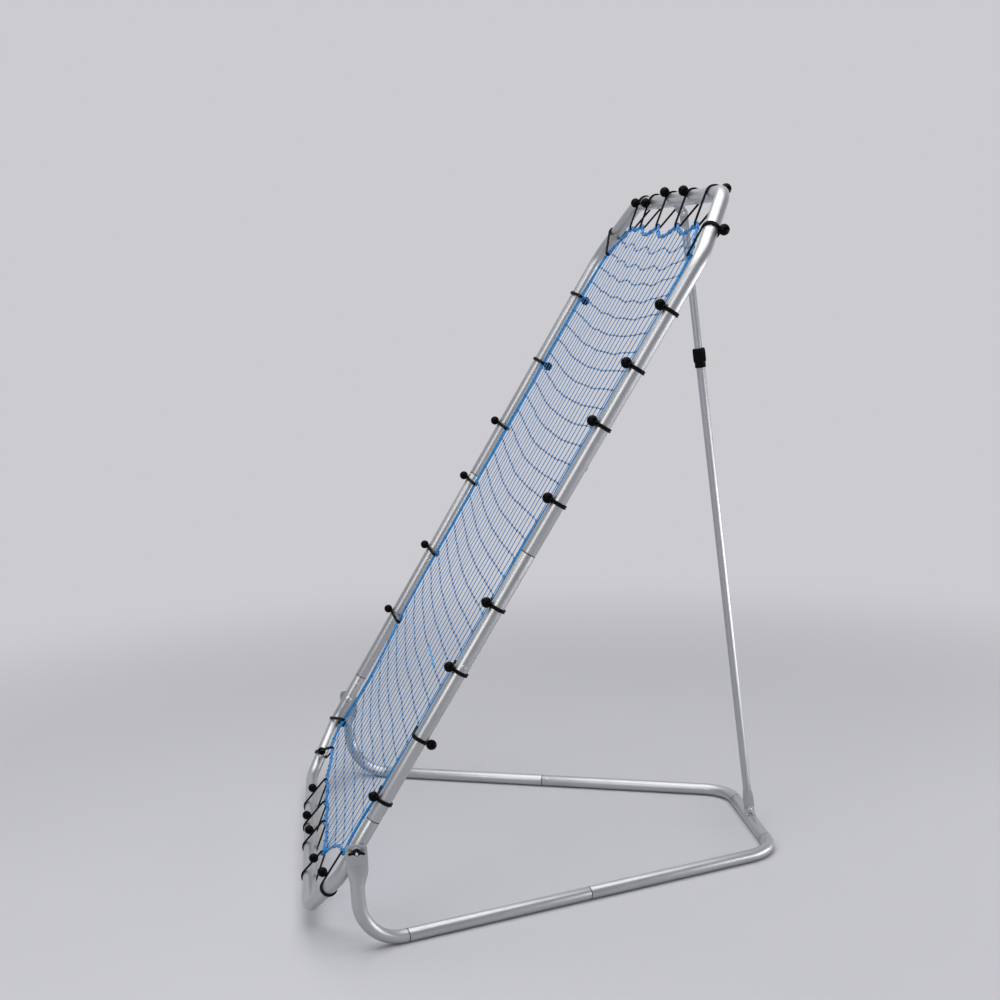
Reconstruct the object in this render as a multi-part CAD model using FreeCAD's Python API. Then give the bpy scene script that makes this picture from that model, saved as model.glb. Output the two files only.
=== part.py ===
"""Pitch back rebounder: a tilting frame with a square-mesh net on a floor base, propped by a strut.

Everything is first laid out about the two pivots: X runs along the pivot line, Y to the rear, Z up from the
floor. The net frame is drawn flat (x across, s up the frame, n out of its front) and then leaned back. At the
end all pieces move forward together, so that the origin is on the floor under the middle of the part.

Tubes, bolts and cords are many-sided: a radius runs to their corners. Holes are given by the distance to
their flats, so that a bolt's corners turn inside them.
"""
import FreeCAD, Part
import math
import os

V = FreeCAD.Vector

# Tubes
tube_radius = 19.0            # all frame and base tubes
tube_wall = 1.5
tube_sides = 12
bend_step = 16.0              # turn of one flat in a bend, degrees
spigot_clearance = 0.2        # swaged end inside its socket, on the radius
spigot_length = 55.0
swage_taper = 3.0             # length of the cone that leads to a swaged end
small_sides = 12              # bolts, washers, buttons, holes and the strut

# Net frame, drawn flat
frame_tilt = 57.76            # lean from the floor, degrees
frame_length = 2100.0         # bottom bar to top bar, tube centres
frame_half_width = 740.0      # middle to side tube centre
corner_cut = 169.0            # both ways, at all four corners
frame_bend_radius = 95.0
lower_seam = 348.0            # up the frame from the bottom bar
upper_seam = 1130.0
frame_button_drop = 27.0      # spring button below the lower seam
rivet_height = 810.0
rear_rivet_height = 1376.0
rivet_head_radius = 6.0
rivet_head_height = 1.8
rivet_shank_radius = 3.0

# Pivots between base and frame
pivot_height = 281.65
pivot_along = 259.36          # up the frame from the bottom bar
pivot_bolt_radius = 4.0
running_clearance = 0.05      # bolts, buttons and pins in their holes, collar on the tubes
seat_gap = 0.2                # between stacked washers, plates and tubes
spacer_thickness = 1.4
spacer_radius = 12.0
bolt_head_radius = 11.0
bolt_head_height = 5.0
washer_radius = 13.5
washer_thickness = 1.5
nut_base_radius = 9.0
nut_top_radius = 6.8
nut_height = 13.0
nut_wing_span = 43.0
nut_wing_thickness = 4.0
nut_wing_rise = 9.0
bolt_stub = 4.0               # bright end past the wing nut

# Base
plate_width = 56.0            # flattened top of a neck
plate_thickness = 4.5
plate_over_pivot = 20.0
plate_under_pivot = 44.0
plate_corner_radius = 13.0
neck_taper = 58.0             # from the flat down to the round tube
neck_x = 757.0
neck_y = -3.0
base_bend_radius = 125.0
rear_corner_x = 282.0
rear_bar_y = 1221.5
neck_reach = 132.0            # neck piece's share of the rail
rail_seam = 685.0             # front corner to the middle seam, along the rail
rail_button_back = 18.0       # spring button behind the middle seam
rail_button_lift = 30.0       # its turn up from the inner side on to the next flat, degrees
rear_bar_half = 182.0

# Spring buttons
button_radius = 4.9
button_reach = 3.0            # past the outside of the tube
button_flange_radius = 6.3
button_flange_thickness = 1.5
button_flange_depth = 2.0     # flange below the corners of the swaged end's bore

# Strut
foot_bolt_height = 50.0
foot_bolt_back = 1217.7
foot_bolt_radius = 4.0
foot_bracket_width = 31.0
foot_bracket_length = 34.0
bracket_thickness = 2.5
saddle_gap = 0.1
ear_gap = 0.4                 # each side of a flattened end
strut_outer_radius = 12.5
strut_outer_wall = 1.4
strut_inner_radius = 11.0
strut_inner_wall = 1.2
foot_width = 33.0
foot_thickness = 6.0
foot_end = 9.0                # past the foot bolt
foot_flat = 36.0
foot_taper = 62.0
outer_tube_top = 1392.0       # from the foot bolt
inner_tube_bottom = 1090.0
collar_bottom = 1349.0
collar_step = 1365.0
collar_top = 1402.0
collar_lip_radius = 15.5
collar_radius = 18.0
head_pin_radius = 3.0
head_pin_back = 18.5          # from the top bar's centre, rearwards
head_pin_drop = 32.0          # and down
slot_across = 8.2             # play of the pin in the head's opening, across the strut
slot_along = 4.0              # and along it
slot_clearance = 0.25
head_width = 23.0
head_thickness = 5.0
head_end = 9.5
head_flat = 24.0
head_taper = 40.0
head_bracket_width = 24.0
head_bracket_length = 30.0
flat_share = 0.7              # part of a flattened end's width that is flat

# Net, edge rope and elastic loops
rope_radius = 4.0
rope_sides = 6
rope_rounding = 0.3           # share of each run that is taken off at a corner
net_thickness = 3.0
net_gap = 0.3                 # between net, rope and loops
net_spacing = 145.0
net_twine = 5.0
net_margin = 6.0              # solid edge inside the rope
net_least_gap = 150.0         # smallest mesh opening kept at the edge, square millimetres
loop_thickness = 4.4
loop_width = 8.8              # two strands side by side
loop_clearance = 0.3
loop_tube_sides = 6
loop_rope_sides = 3
ball_radius = 13.5
ball_clearance = 0.3
ball_sides = 8
ball_ring_count = 4

# Elastic loops in order round the net, from the near top corner down: tube, place along its straight run
# (share), distance from the tube in to the rope, scallop of the rope on to the next loop (share of that
# span), slide of the loop along its tube, and the ball: turn about the tube's centre from the net towards
# the front, and distance from it.
ball_corner = ball_radius / math.cos(math.pi / 2 / ball_ring_count)
ball_flat = ball_radius * math.cos(math.pi / ball_sides)
against_tube = tube_radius + ball_clearance + ball_flat
LOOPS = [
    ("right", 0.920, 90, 0.03, 0, 108, against_tube),
    ("right", 0.833, 90, 0.03, 0, 108, against_tube),
    ("right", 0.747, 90, 0.03, 0, 106, against_tube),
    ("right", 0.630, 90, 0.03, 0, 108, against_tube),
    ("right", 0.453, 90, 0.03, 0, 105, against_tube),
    ("right", 0.355, 90, 0.03, 0, 106, against_tube),
    ("right", 0.240, 92, 0.03, 0, -92, against_tube),
    ("right", 0.137, 98, 0.12, 0, 104, against_tube),
    ("lower_right", 0.547, 138, -0.03, -77, 16, 72.0),
    ("bottom", 0.791, 78, 0.10, 0, 16, 56.0),
    ("bottom", 0.588, 80, 0.10, 0, 31, 54.0),
    ("bottom", 0.447, 82, 0.08, 0, 44, 42.0),
    ("bottom", 0.271, 88, 0.05, 0, 24, 62.0),
    ("lower_left", 0.207, 143, 0.04, 50, 12, 50.0),
    ("lower_left", 0.775, 126, 0.14, 8, -90, against_tube),
    ("left", 0.251, 114, 0.02, 0, 92, against_tube),
    ("left", 0.383, 100, 0.02, 0, 92, against_tube),
    ("left", 0.537, 92, 0.02, 0, 90, against_tube),
    ("left", 0.648, 86, 0.02, 0, 92, against_tube),
    ("left", 0.783, 82, 0.02, 0, -90, against_tube),
    ("left", 0.921, 80, 0.05, 0, -90, against_tube),
    ("upper_left", 0.399, 77, 0.06, 0, -131, against_tube),
    ("top", 0.120, 66, 0.09, 0, 63, against_tube),
    ("top", 0.257, 68, 0.10, 0, 56, against_tube),
    ("top", 0.475, 68, 0.12, 0, 98, against_tube),
    ("top", 0.707, 70, 0.11, 0, 88, against_tube),
    ("top", 0.920, 64, 0.06, 0, -143, against_tube),
    ("upper_right", 0.400, 83, 0.04, 0, -131, against_tube),
]

# Worked out from the sizes above
X, Y, Z = V(1, 0, 0), V(0, 1, 0), V(0, 0, 1)
tilt = math.radians(frame_tilt)
tube_bore = tube_radius - tube_wall
tube_flat = tube_radius * math.cos(math.pi / tube_sides)
spigot_radius = tube_bore - spigot_clearance
spigot_bore = spigot_radius - tube_wall
up_frame = V(0, math.cos(tilt), math.sin(tilt))
frame_origin = V(0, 0, pivot_height) - up_frame * pivot_along
FRAME = FreeCAD.Placement(frame_origin, FreeCAD.Rotation(X, frame_tilt))
top_bar = frame_origin + up_frame * frame_length
head_pin = top_bar + V(0, head_pin_back, -head_pin_drop)
foot_pin = V(0, foot_bolt_back, foot_bolt_height)
rear_bar_centre = V(0, rear_bar_y, tube_flat)


def unit(vector):
    """Same direction, length one."""
    return vector * (1 / vector.Length)


def outline(points):
    """Flat face with the given corners."""
    return Part.Face(Part.makePolygon(points + points[:1]))


def flat_faces(a, b, c, d):
    """One face through four points, or two where they are not in one plane."""
    normal = (b - a).cross(c - a)
    if normal.Length > 1e-7 and abs((d - a).dot(unit(normal))) < 1e-5:
        return [outline([a, b, c, d])]
    return [outline([a, b, c]), outline([a, c, d])]


def skin(rings, closed=False):
    """Solid through rings of corners: with flat ends, or closed on itself like a ring."""
    faces = [] if closed else [outline(rings[0]), outline(rings[-1])]
    for low, high in zip(rings, rings[1:] + (rings[:1] if closed else [])):
        for k in range(len(low)):
            j = (k + 1) % len(low)
            faces += flat_faces(low[k], low[j], high[j], high[k])
    solid = Part.Solid(Part.Shell(faces))
    return solid if solid.Volume > 0 else solid.reversed()


def ring(centre, direction, reference, radius, sides):
    """Corners of a many-sided circle square to a direction, one of its flats facing the reference."""
    run = unit(direction)
    a = unit(reference - run * reference.dot(run))
    b = run.cross(a)
    turns = [2 * math.pi * (k + 0.5) / sides for k in range(sides)]
    return [centre + a * (radius * math.cos(t)) + b * (radius * math.sin(t)) for t in turns]


def around(radius, sides=small_sides):
    """Corner radius of an opening whose flats are at a distance."""
    return radius / math.cos(math.pi / sides)


def turned(profile, centre, direction, reference=Z, sides=small_sides):
    """Turned piece from (distance along the axis, radius) pairs; one that starts on the axis is solid."""
    run = unit(direction)
    rings = [ring(centre + run * along, run, reference, radius, sides) for along, radius in profile if radius]
    return skin(rings, closed=profile[0][1] > 0)


def washer(centre, direction, outer, inner, height):
    """Flat ring that starts at a point; the inner size is to its flats."""
    bore = around(inner)
    return turned([(0, outer), (height, outer), (height, bore), (0, bore)], centre, direction)


def drill(shape, centre, direction, radius, length, reference=Z):
    """Hole centred on a point and running both ways from it; the size is to its flats."""
    run = unit(direction)
    half, size = run * (length / 2), around(radius)
    ends = (centre - half, centre + half)
    return shape.cut(skin([ring(end, run, reference, size, small_sides) for end in ends]))


def fuse(pieces):
    """One solid from pieces that meet."""
    return pieces[0].fuse(pieces[1:])


def mirrored(shape):
    """Copy on the other side of the middle plane."""
    return shape.mirror(V(0, 0, 0), X)


def on_frame(shape):
    """Leans a piece drawn flat back into its place on the frame."""
    moved = shape.copy()
    moved.Placement = FRAME.multiply(moved.Placement)
    return moved


def corner(before, point, after, radius):
    """Where a bend starts, its centre and its turn."""
    back, on = unit(before - point), unit(after - point)
    half = back.getAngle(on) / 2
    centre = point + unit(back + on) * (radius / math.sin(half))
    return point + back * (radius / math.tan(half)), centre, math.pi - 2 * half


def places(points, bend):
    """Points and directions along straight runs with one bend radius at every corner."""
    found = [(points[0], unit(points[1] - points[0]))]
    for before, point, after in zip(points, points[1:], points[2:]):
        enter, centre, turn = corner(before, point, after, bend)
        run = unit(point - before)
        axis = run.cross(after - point)
        steps = math.ceil(math.degrees(turn) / bend_step)
        for k in range(steps + 1):
            swing = FreeCAD.Rotation(axis, math.degrees(turn) * k / steps)
            found.append((centre + swing.multVec(enter - centre), swing.multVec(run)))
    return found + [(points[-1], unit(points[-1] - points[-2]))]


def tube(points, bend=0.0, reference=Z, start_swaged=False, end_swaged=False):
    """Hollow tube along its route; a swaged end is added past the route's end."""
    route = places(points, bend)
    rows = [(point, run, tube_radius, tube_bore) for point, run in route]
    for wanted, (point, run), way in ((start_swaged, route[0], -1), (end_swaged, route[-1], 1)):
        if wanted:
            narrow = [(point + run * (way * reach), run, spigot_radius, spigot_bore)
                      for reach in (swage_taper, swage_taper + spigot_length)]
            rows = rows + narrow if way > 0 else narrow[::-1] + rows
    outer = [ring(point, run, reference, size, tube_sides) for point, run, size, _bore in rows]
    inner = [ring(point, run, reference, bore, tube_sides) for point, run, _size, bore in rows]
    return skin(outer + inner[::-1], closed=True)


def flattened(centre, direction, thin, width, thickness, sides):
    """Corners of a flattened tube's section, thin along one direction."""
    run = unit(direction)
    a, b = unit(thin), run.cross(unit(thin))
    widest = math.sin(2 * math.pi * (math.floor(sides / 4 - 0.5) + 0.5) / sides)
    corners = []
    for k in range(sides):
        t = 2 * math.pi * (k + 0.5) / sides
        share = max(-1.0, min(1.0, math.cos(t) / flat_share))
        corners.append(centre + a * (thickness / 2 * share) + b * (width / 2 * math.sin(t) / widest))
    return corners


def between(low, high, share):
    """Ring part of the way from one ring to another."""
    return [p + (q - p) * share for p, q in zip(low, high)]


# Net frame tubes, drawn flat
def frame_tubes():
    """Bottom bend, right side tube and top bend."""
    wide, cut = frame_half_width, corner_cut

    def half_loop(end, level, inward):
        return [V(wide, end, 0), V(wide, level + inward * cut, 0), V(wide - cut, level, 0),
                V(cut - wide, level, 0), V(-wide, level + inward * cut, 0), V(-wide, end, 0)]
    bottom = tube(half_loop(lower_seam, 0, 1), frame_bend_radius)
    top = tube(half_loop(upper_seam + swage_taper, frame_length, -1), frame_bend_radius,
               start_swaged=True, end_swaged=True)
    side = tube([V(wide, upper_seam, 0), V(wide, lower_seam + swage_taper, 0)], end_swaged=True)
    hole, across = button_radius + running_clearance, 3 * tube_radius
    pivot_hole = pivot_bolt_radius + running_clearance
    button_s = lower_seam - frame_button_drop
    side = drill(side, V(wide - tube_radius, button_s, 0), X, hole, tube_radius)
    side = drill(side, V(wide, rivet_height, 0), X, rivet_shank_radius + running_clearance, across)
    for way in (1, -1):
        bottom = drill(bottom, V(way * (wide - tube_radius), button_s, 0), X, hole, tube_radius)
        bottom = drill(bottom, V(way * wide, pivot_along, 0), X, pivot_hole, across)
        top = drill(top, V(way * wide, rear_rivet_height, -tube_radius), Z,
                    rivet_shank_radius + running_clearance, tube_radius, X)
    return bottom, side, top


def frame_rivets():
    """Rivets across the side tubes and at the back of the top bend."""
    seat, shank, head = tube_flat + seat_gap, rivet_shank_radius, rivet_head_radius
    crown = seat + rivet_head_height
    dome = [(seat, shank), (seat, head), (crown, 0.7 * head)]
    through = [(-along, radius) for along, radius in dome[::-1]] + dome
    blind = [(tube_bore - tube_wall, shank)] + dome
    found = []
    for way in (1, -1):
        across = [(-crown, 0)] + through
        found.append(turned(across, V(way * frame_half_width, rivet_height, 0), X))
        found.append(turned([(0, 0)] + blind, V(way * frame_half_width, rear_rivet_height, 0), Z * -1, X))
    return Part.makeCompound(found)


def spring_button(centre, direction, reference=Z):
    """Domed button with the flange that keeps it inside the swaged end."""
    flange, top = spigot_bore - button_flange_depth, tube_radius + button_reach
    wide = button_flange_radius
    profile = [(0, 0), (flange - button_flange_thickness, wide), (flange, wide), (flange, button_radius),
               (top - 1.8, button_radius), (top, 0.55 * button_radius)]
    return turned(profile, centre, direction, reference)


# Edge rope and elastic loops, drawn flat
def tube_run(name):
    """Both ends of one straight run of the frame's outline."""
    wide, cut, long = frame_half_width, corner_cut, frame_length
    right, left = V(wide, 0, 0), V(-wide, 0, 0)
    in_x, up_cut, up_long = V(-cut, 0, 0), V(0, cut, 0), V(0, long, 0)
    return {
        "right": (right + up_cut, right + up_long - up_cut),
        "left": (left + up_cut, left + up_long - up_cut),
        "bottom": (left - in_x, right + in_x),
        "top": (left - in_x + up_long, right + in_x + up_long),
        "lower_right": (right + in_x, right + up_cut),
        "lower_left": (left - in_x, left + up_cut),
        "upper_right": (right + up_long - up_cut, right + in_x + up_long),
        "upper_left": (left + up_long - up_cut, left - in_x + up_long),
    }[name]


def rope_point(entry):
    """Where a loop pulls the rope: in from a place along its tube."""
    low, high = tube_run(entry[0])
    return low + (high - low) * entry[1] + inward_of(high - low, low) * entry[2]


def inward_of(run, point):
    """Direction across a line of the frame, towards the frame's middle."""
    across = unit(V(-run.y, run.x, 0))
    return across if across.dot(V(0, frame_length / 2, 0) - point) > 0 else across * -1


def rope_route():
    """Rope's middle line, pulled out by every loop and bowed in between; two points at each corner."""
    corners = []
    for this, following in zip(LOOPS, LOOPS[1:] + LOOPS[:1]):
        here, there = rope_point(this), rope_point(following)
        span = there - here
        half_way = here + span * 0.5
        corners += [here, half_way + inward_of(span, half_way) * (span.Length * this[3])]
    route = []
    for before, point, after in zip(corners[-1:] + corners, corners, corners[1:] + corners[:1]):
        route += [point + (before - point) * rope_rounding, point + (after - point) * rope_rounding]
    return route


def inside(route, inset):
    """Line at a distance inside a closed line, mitred at its corners."""
    moved = []
    for before, point, after in zip(route[-1:] + route, route, route[1:] + route[:1]):
        first, second = unit(point - before), unit(after - point)
        mitre = inset / math.cos(first.getAngle(second) / 2)
        moved.append(point + inward_of(first + second, point) * mitre)
    return moved


def edge_rope(route):
    """Many-sided rope along its route."""
    turns = [2 * math.pi * (k + 0.5) / rope_sides for k in range(rope_sides)]
    lines = [[point + Z * (rope_radius * math.sin(t)) for point in inside(route, rope_radius * math.cos(t))]
             for t in turns]
    return skin([list(section) for section in zip(*lines)], closed=True)


def belt(tube_r, rope_r, reach):
    """Corners of a closed cord pulled round two circles, each flat touching its circle."""
    lean = math.acos((tube_r - rope_r) / reach)
    corners = []
    for centre, radius, start, turn, flats in ((0, tube_r, lean, 2 * (math.pi - lean), loop_tube_sides),
                                               (reach, rope_r, -lean, 2 * lean, loop_rope_sides)):
        step = turn / flats
        for k in range(flats):
            t, r = start + step * (k + 0.5), radius / math.cos(step / 2)
            corners.append(V(centre + r * math.cos(t), r * math.sin(t), 0))
    return corners


def faceted_ball(centre):
    """Ball with flat facets, one of them facing the tube, drawn in its loop's plane."""
    lifts = [math.pi * (row + 0.5) / ball_ring_count - math.pi / 2 for row in range(ball_ring_count)]
    rings = [(centre + Z * (ball_corner * math.sin(lift)), ball_corner * math.cos(lift)) for lift in lifts]
    return skin([ring(level, Z, centre, size, ball_sides) for level, size in rings])


def elastic_loop(entry, enter, leave):
    """Doubled cord round one tube and the rope, its ball, and the room that the net leaves for it."""
    name, _place, _pull, _bow, slide, ball_turn, ball_reach = entry
    low, high = tube_run(name)
    direction = unit(high - low)
    rope = (enter + leave) * 0.5
    foot = low + direction * ((rope - low).dot(direction) + slide)
    across, reach = unit(rope - foot), (rope - foot).Length
    width = across.cross(Z)
    radii = []
    for size, run in ((tube_radius, direction), (rope_radius, unit(leave - enter))):
        skew = math.acos(min(1.0, abs(width.dot(run))))
        radii.append(size / math.cos(skew) + loop_width / 2 * math.tan(skew) + loop_clearance)
    inner, outer = (belt(radii[0] + extra, radii[1] + extra, reach) for extra in (0, loop_thickness))
    side = Z * (loop_width / 2)
    solid = skin([[p - side, q - side, q + side, p + side] for p, q in zip(inner, outer)], closed=True)
    turn = math.radians(ball_turn)
    ball_at = V(ball_reach * math.cos(turn), ball_reach * math.sin(turn), 0)
    room = around(ball_flat + ball_clearance, ball_sides)
    solid = solid.cut(skin([ring(ball_at + side * k, Z, ball_at, room, ball_sides) for k in (-2, 2)]))
    ball = faceted_ball(ball_at)
    seat = FreeCAD.Placement(FreeCAD.Matrix(
        across.x, 0, width.x, foot.x, across.y, 0, width.y, foot.y, across.z, 1, width.z, foot.z, 0, 0, 0, 1))
    solid.Placement = ball.Placement = seat
    depth = max(p.x for p in outer) - reach + net_gap
    half = loop_width / 2 + net_gap
    notch = outline([rope + across * a + width * b for a, b in
                     ((-depth, -half), (depth, -half), (depth, half), (-depth, half))])
    return solid, ball, notch


def net_panel(route, notches):
    """Square-mesh net: one holed sheet inside the rope, with room for the loops at its edge."""
    inset = rope_radius + net_gap
    sheet = outline(inside(route, inset)).cut(Part.makeCompound(notches))
    field = outline(inside(route, inset + net_margin))
    opening = net_spacing - net_twine
    columns, rows = int(frame_half_width / net_spacing) + 1, int(frame_length / net_spacing) + 1
    cells = []
    for i in range(-columns, columns + 1):
        for j in range(rows + 1):
            low = V(i * net_spacing - opening / 2, j * net_spacing + net_twine / 2, 0)
            cells.append(outline([low, low + X * opening, low + (X + Y) * opening, low + Y * opening]))
    grown = [notch.scaled(1.0 + 2 * net_margin / loop_width, notch.CenterOfMass) for notch in notches]
    field = field.cut(Part.makeCompound(grown))
    meshes = [face for face in field.common(Part.makeCompound(cells)).Faces if face.Area > net_least_gap]
    panel = sheet.cut(Part.makeCompound(meshes)).extrude(Z * net_thickness)
    panel.translate(Z * (-net_thickness / 2))
    return max(panel.Solids, key=lambda solid: solid.Volume), len(meshes)


# Base, drawn for the right side
def rail_direction():
    """From the front corner towards the rear one."""
    return unit(V(rear_corner_x - neck_x, rear_bar_y - neck_y, 0))


def rail_point(distance):
    """Point on the rail's middle line, from the front corner."""
    return V(neck_x, neck_y, tube_flat) + rail_direction() * distance


def plate_inner_face():
    """Where the flattened neck stands beside the frame tube."""
    return frame_half_width + tube_flat + spacer_thickness + 2 * seat_gap


def neck():
    """Upright with a flattened top and the front bend of the rail."""
    round_top = V(neck_x, neck_y, pivot_height - plate_under_pivot - neck_taper)
    route = [round_top, V(neck_x, neck_y, tube_flat), rail_point(neck_reach - swage_taper)]
    side = Z.cross(rail_direction())
    upright = tube(route, base_bend_radius, side, end_swaged=True)
    plate_x = plate_inner_face() + plate_thickness / 2

    def section(level, width):
        return flattened(V(plate_x, 0, level), Z, side, width, plate_thickness, tube_sides)
    low, crown = pivot_height - plate_under_pivot, pivot_height + plate_over_pivot
    circle = ring(round_top, Z, side, tube_radius, tube_sides)
    flat = flattened(V(plate_x, 0, low), Z, X * -1, plate_width, plate_thickness, tube_sides)
    rings = [circle]
    for share, squash in ((0.35, 0.3), (0.7, 0.85)):
        rings.append([V(p.x + (q.x - p.x) * squash, p.y + (q.y - p.y) * squash, p.z + (q.z - p.z) * share)
                      for p, q in zip(circle, flat)])
    rings.append(flat)
    for turn in (0, 30, 60, 85):
        angle = math.radians(turn)
        level = crown - plate_corner_radius * (1 - math.sin(angle))
        width = plate_width - 2 * plate_corner_radius * (1 - math.cos(angle))
        rings.append(flattened(V(plate_x, 0, level), Z, X * -1, width, plate_thickness, tube_sides))
    piece = fuse([upright, skin(rings)])
    return drill(piece, V(plate_x, 0, pivot_height), X, pivot_bolt_radius + running_clearance, 20)


def rails():
    """Front rail with its swaged rear end, and rear rail with the elbow."""
    front = tube([rail_point(neck_reach), rail_point(rail_seam - swage_taper)], end_swaged=True)
    bar_end = rear_bar_centre + X * (rear_bar_half + swage_taper)
    rear = tube([rail_point(rail_seam), V(rear_corner_x, rear_bar_y, tube_flat), bar_end], base_bend_radius,
                end_swaged=True)
    centre, way = rail_button()
    cuts = [drill(piece, centre + way * tube_radius, way, button_radius + running_clearance, tube_radius,
                  rail_direction()) for piece in (front, rear)]
    return cuts


def rail_button():
    """Centre line point and direction of the button in the right rail."""
    inward = Z.cross(rail_direction())
    lift = math.radians(rail_button_lift)
    return rail_point(rail_seam + rail_button_back), inward * math.cos(lift) + Z * math.sin(lift)


def two_ear_bracket(bar, facing, pin, plate, width, length, pin_radius):
    """Saddle bent round a bar along X, whose flat faces a direction, with two ears that hold a pin."""
    to_pin = unit(pin - bar)
    side = X.cross(to_pin)
    inner, outer = tube_radius + saddle_gap, tube_radius + saddle_gap + bracket_thickness
    shell = turned([(0, outer), (length, outer), (length, inner), (0, inner)], bar - X * (length / 2), X,
                   facing, tube_sides)
    start = bar - X * length
    front = outline([start + side * (a * width / 2) + to_pin * b for a, b in
                     ((1, 0), (-1, 0), (-1, 2 * outer), (1, 2 * outer))])
    saddle = shell.common(front.extrude(X * (2 * length)))
    core = skin([ring(bar + X * (k * length), X, facing, inner, tube_sides) for k in (-1, 1)])
    turns = [math.radians(t) for t in range(0, 181, 30)]
    crown = [pin + (side * math.cos(t) + to_pin * math.sin(t)) * (width / 2) for t in turns]
    ears = []
    for near in (plate / 2 + ear_gap, -plate / 2 - ear_gap - bracket_thickness):
        shape = [bar + side * (width / 2)] + crown + [bar - side * (width / 2)]
        ears.append(outline([p + X * near for p in shape]).extrude(X * bracket_thickness).cut(core))
    piece = fuse([saddle] + ears)
    return drill(piece, pin, X, pin_radius + running_clearance, 4 * length)


def cross_bolt(pin, plate, radius):
    """Bolt across two ears with a round head on one side and a six-sided nut on the other."""
    face = plate / 2 + ear_gap + bracket_thickness + seat_gap
    head, nut = radius * 0.7, radius * 0.9
    tip = -face - nut - radius * 0.5
    bolt = turned([(tip, 0), (tip, radius), (face, radius), (face, radius * 1.8),
                   (face + head * 0.5, radius * 1.8), (face + head, radius * 1.2)], pin, X)
    hexagon = skin([ring(pin - X * reach, X, Z, radius * 1.85, 6) for reach in (face, face + nut)])
    return fuse([bolt, hexagon])


# Strut, drawn upright on its own foot and then leaned
def head_middle():
    """Middle of the opening in the strut's head: the pin rests at one side of it."""
    run = head_pin - foot_pin
    lean = math.atan2(run.z, run.y)
    along, across = V(0, math.cos(lean), math.sin(lean)), V(0, -math.sin(lean), math.cos(lean))
    return head_pin - across * (slot_across / 2) - along * (slot_along / 2)


def strut_place():
    """Stands a piece drawn up the Z axis from the foot bolt along the strut."""
    run = head_middle() - foot_pin
    return FreeCAD.Placement(foot_pin, FreeCAD.Rotation(X, math.degrees(math.atan2(run.z, run.y)) - 90))


def flat_end(tip, flat, taper, width, thickness, radius, way):
    """Flat end of a round tube, drawn from its tip towards the tube; the flat faces X."""
    stop = tip + way * (flat + taper)
    circle = ring(V(0, 0, stop), Z, X, radius, small_sides)
    pressed = flattened(V(0, 0, tip + way * flat), Z, X, width, thickness, small_sides)
    rings = [flattened(V(0, 0, tip), Z, X, 0.7 * width, thickness, small_sides),
             flattened(V(0, 0, tip + way * 0.15 * width), Z, X, width, thickness, small_sides), pressed,
             between(pressed, circle, 0.5), circle]
    return skin(rings), stop


def round_tube(low, high, outer, wall):
    """Plain hollow tube up the Z axis."""
    inner = outer - wall
    return turned([(low, outer), (high, outer), (high, inner), (low, inner)], V(0, 0, 0), Z, X)


def strut_pieces():
    """Lower tube with its foot, upper tube with its head, and the twist collar."""
    foot, start = flat_end(-foot_end, foot_end + foot_flat, foot_taper, foot_width, foot_thickness,
                           strut_outer_radius, 1)
    lower = fuse([foot, round_tube(start, outer_tube_top, strut_outer_radius, strut_outer_wall)])
    lower = drill(lower, V(0, 0, 0), X, foot_bolt_radius + running_clearance, foot_width)
    end = (head_middle() - foot_pin).Length
    head, stop = flat_end(end + head_end, head_end + head_flat, head_taper, head_width, head_thickness,
                          strut_inner_radius, -1)
    upper = fuse([head, round_tube(inner_tube_bottom, stop, strut_inner_radius, strut_inner_wall)])
    slot = []
    for corner_point in ring(V(0, 0, end), X, Z, around(head_pin_radius + slot_clearance), small_sides):
        wide, high = (math.copysign(1, corner_point.y), math.copysign(1, corner_point.z - end))
        slot.append(corner_point + V(0, wide * slot_across / 2, high * slot_along / 2))
    upper = upper.cut(outline([p - X * head_width for p in slot]).extrude(X * (2 * head_width)))
    grip = around(strut_outer_radius + running_clearance, tube_sides)
    throat = around(strut_inner_radius + running_clearance, tube_sides)
    lid = outer_tube_top + seat_gap
    collar = turned([(collar_bottom, grip), (collar_bottom, collar_lip_radius),
                     (collar_step - 1.5, collar_lip_radius), (collar_step, collar_radius - 0.6),
                     (collar_top - 2.0, collar_radius),
                     (collar_top, collar_radius - 1.6), (collar_top, throat), (lid, throat), (lid, grip)],
                    V(0, 0, 0), Z, X, tube_sides)
    for piece in (lower, upper, collar):
        piece.Placement = strut_place().multiply(piece.Placement)
    return lower, upper, collar


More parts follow.
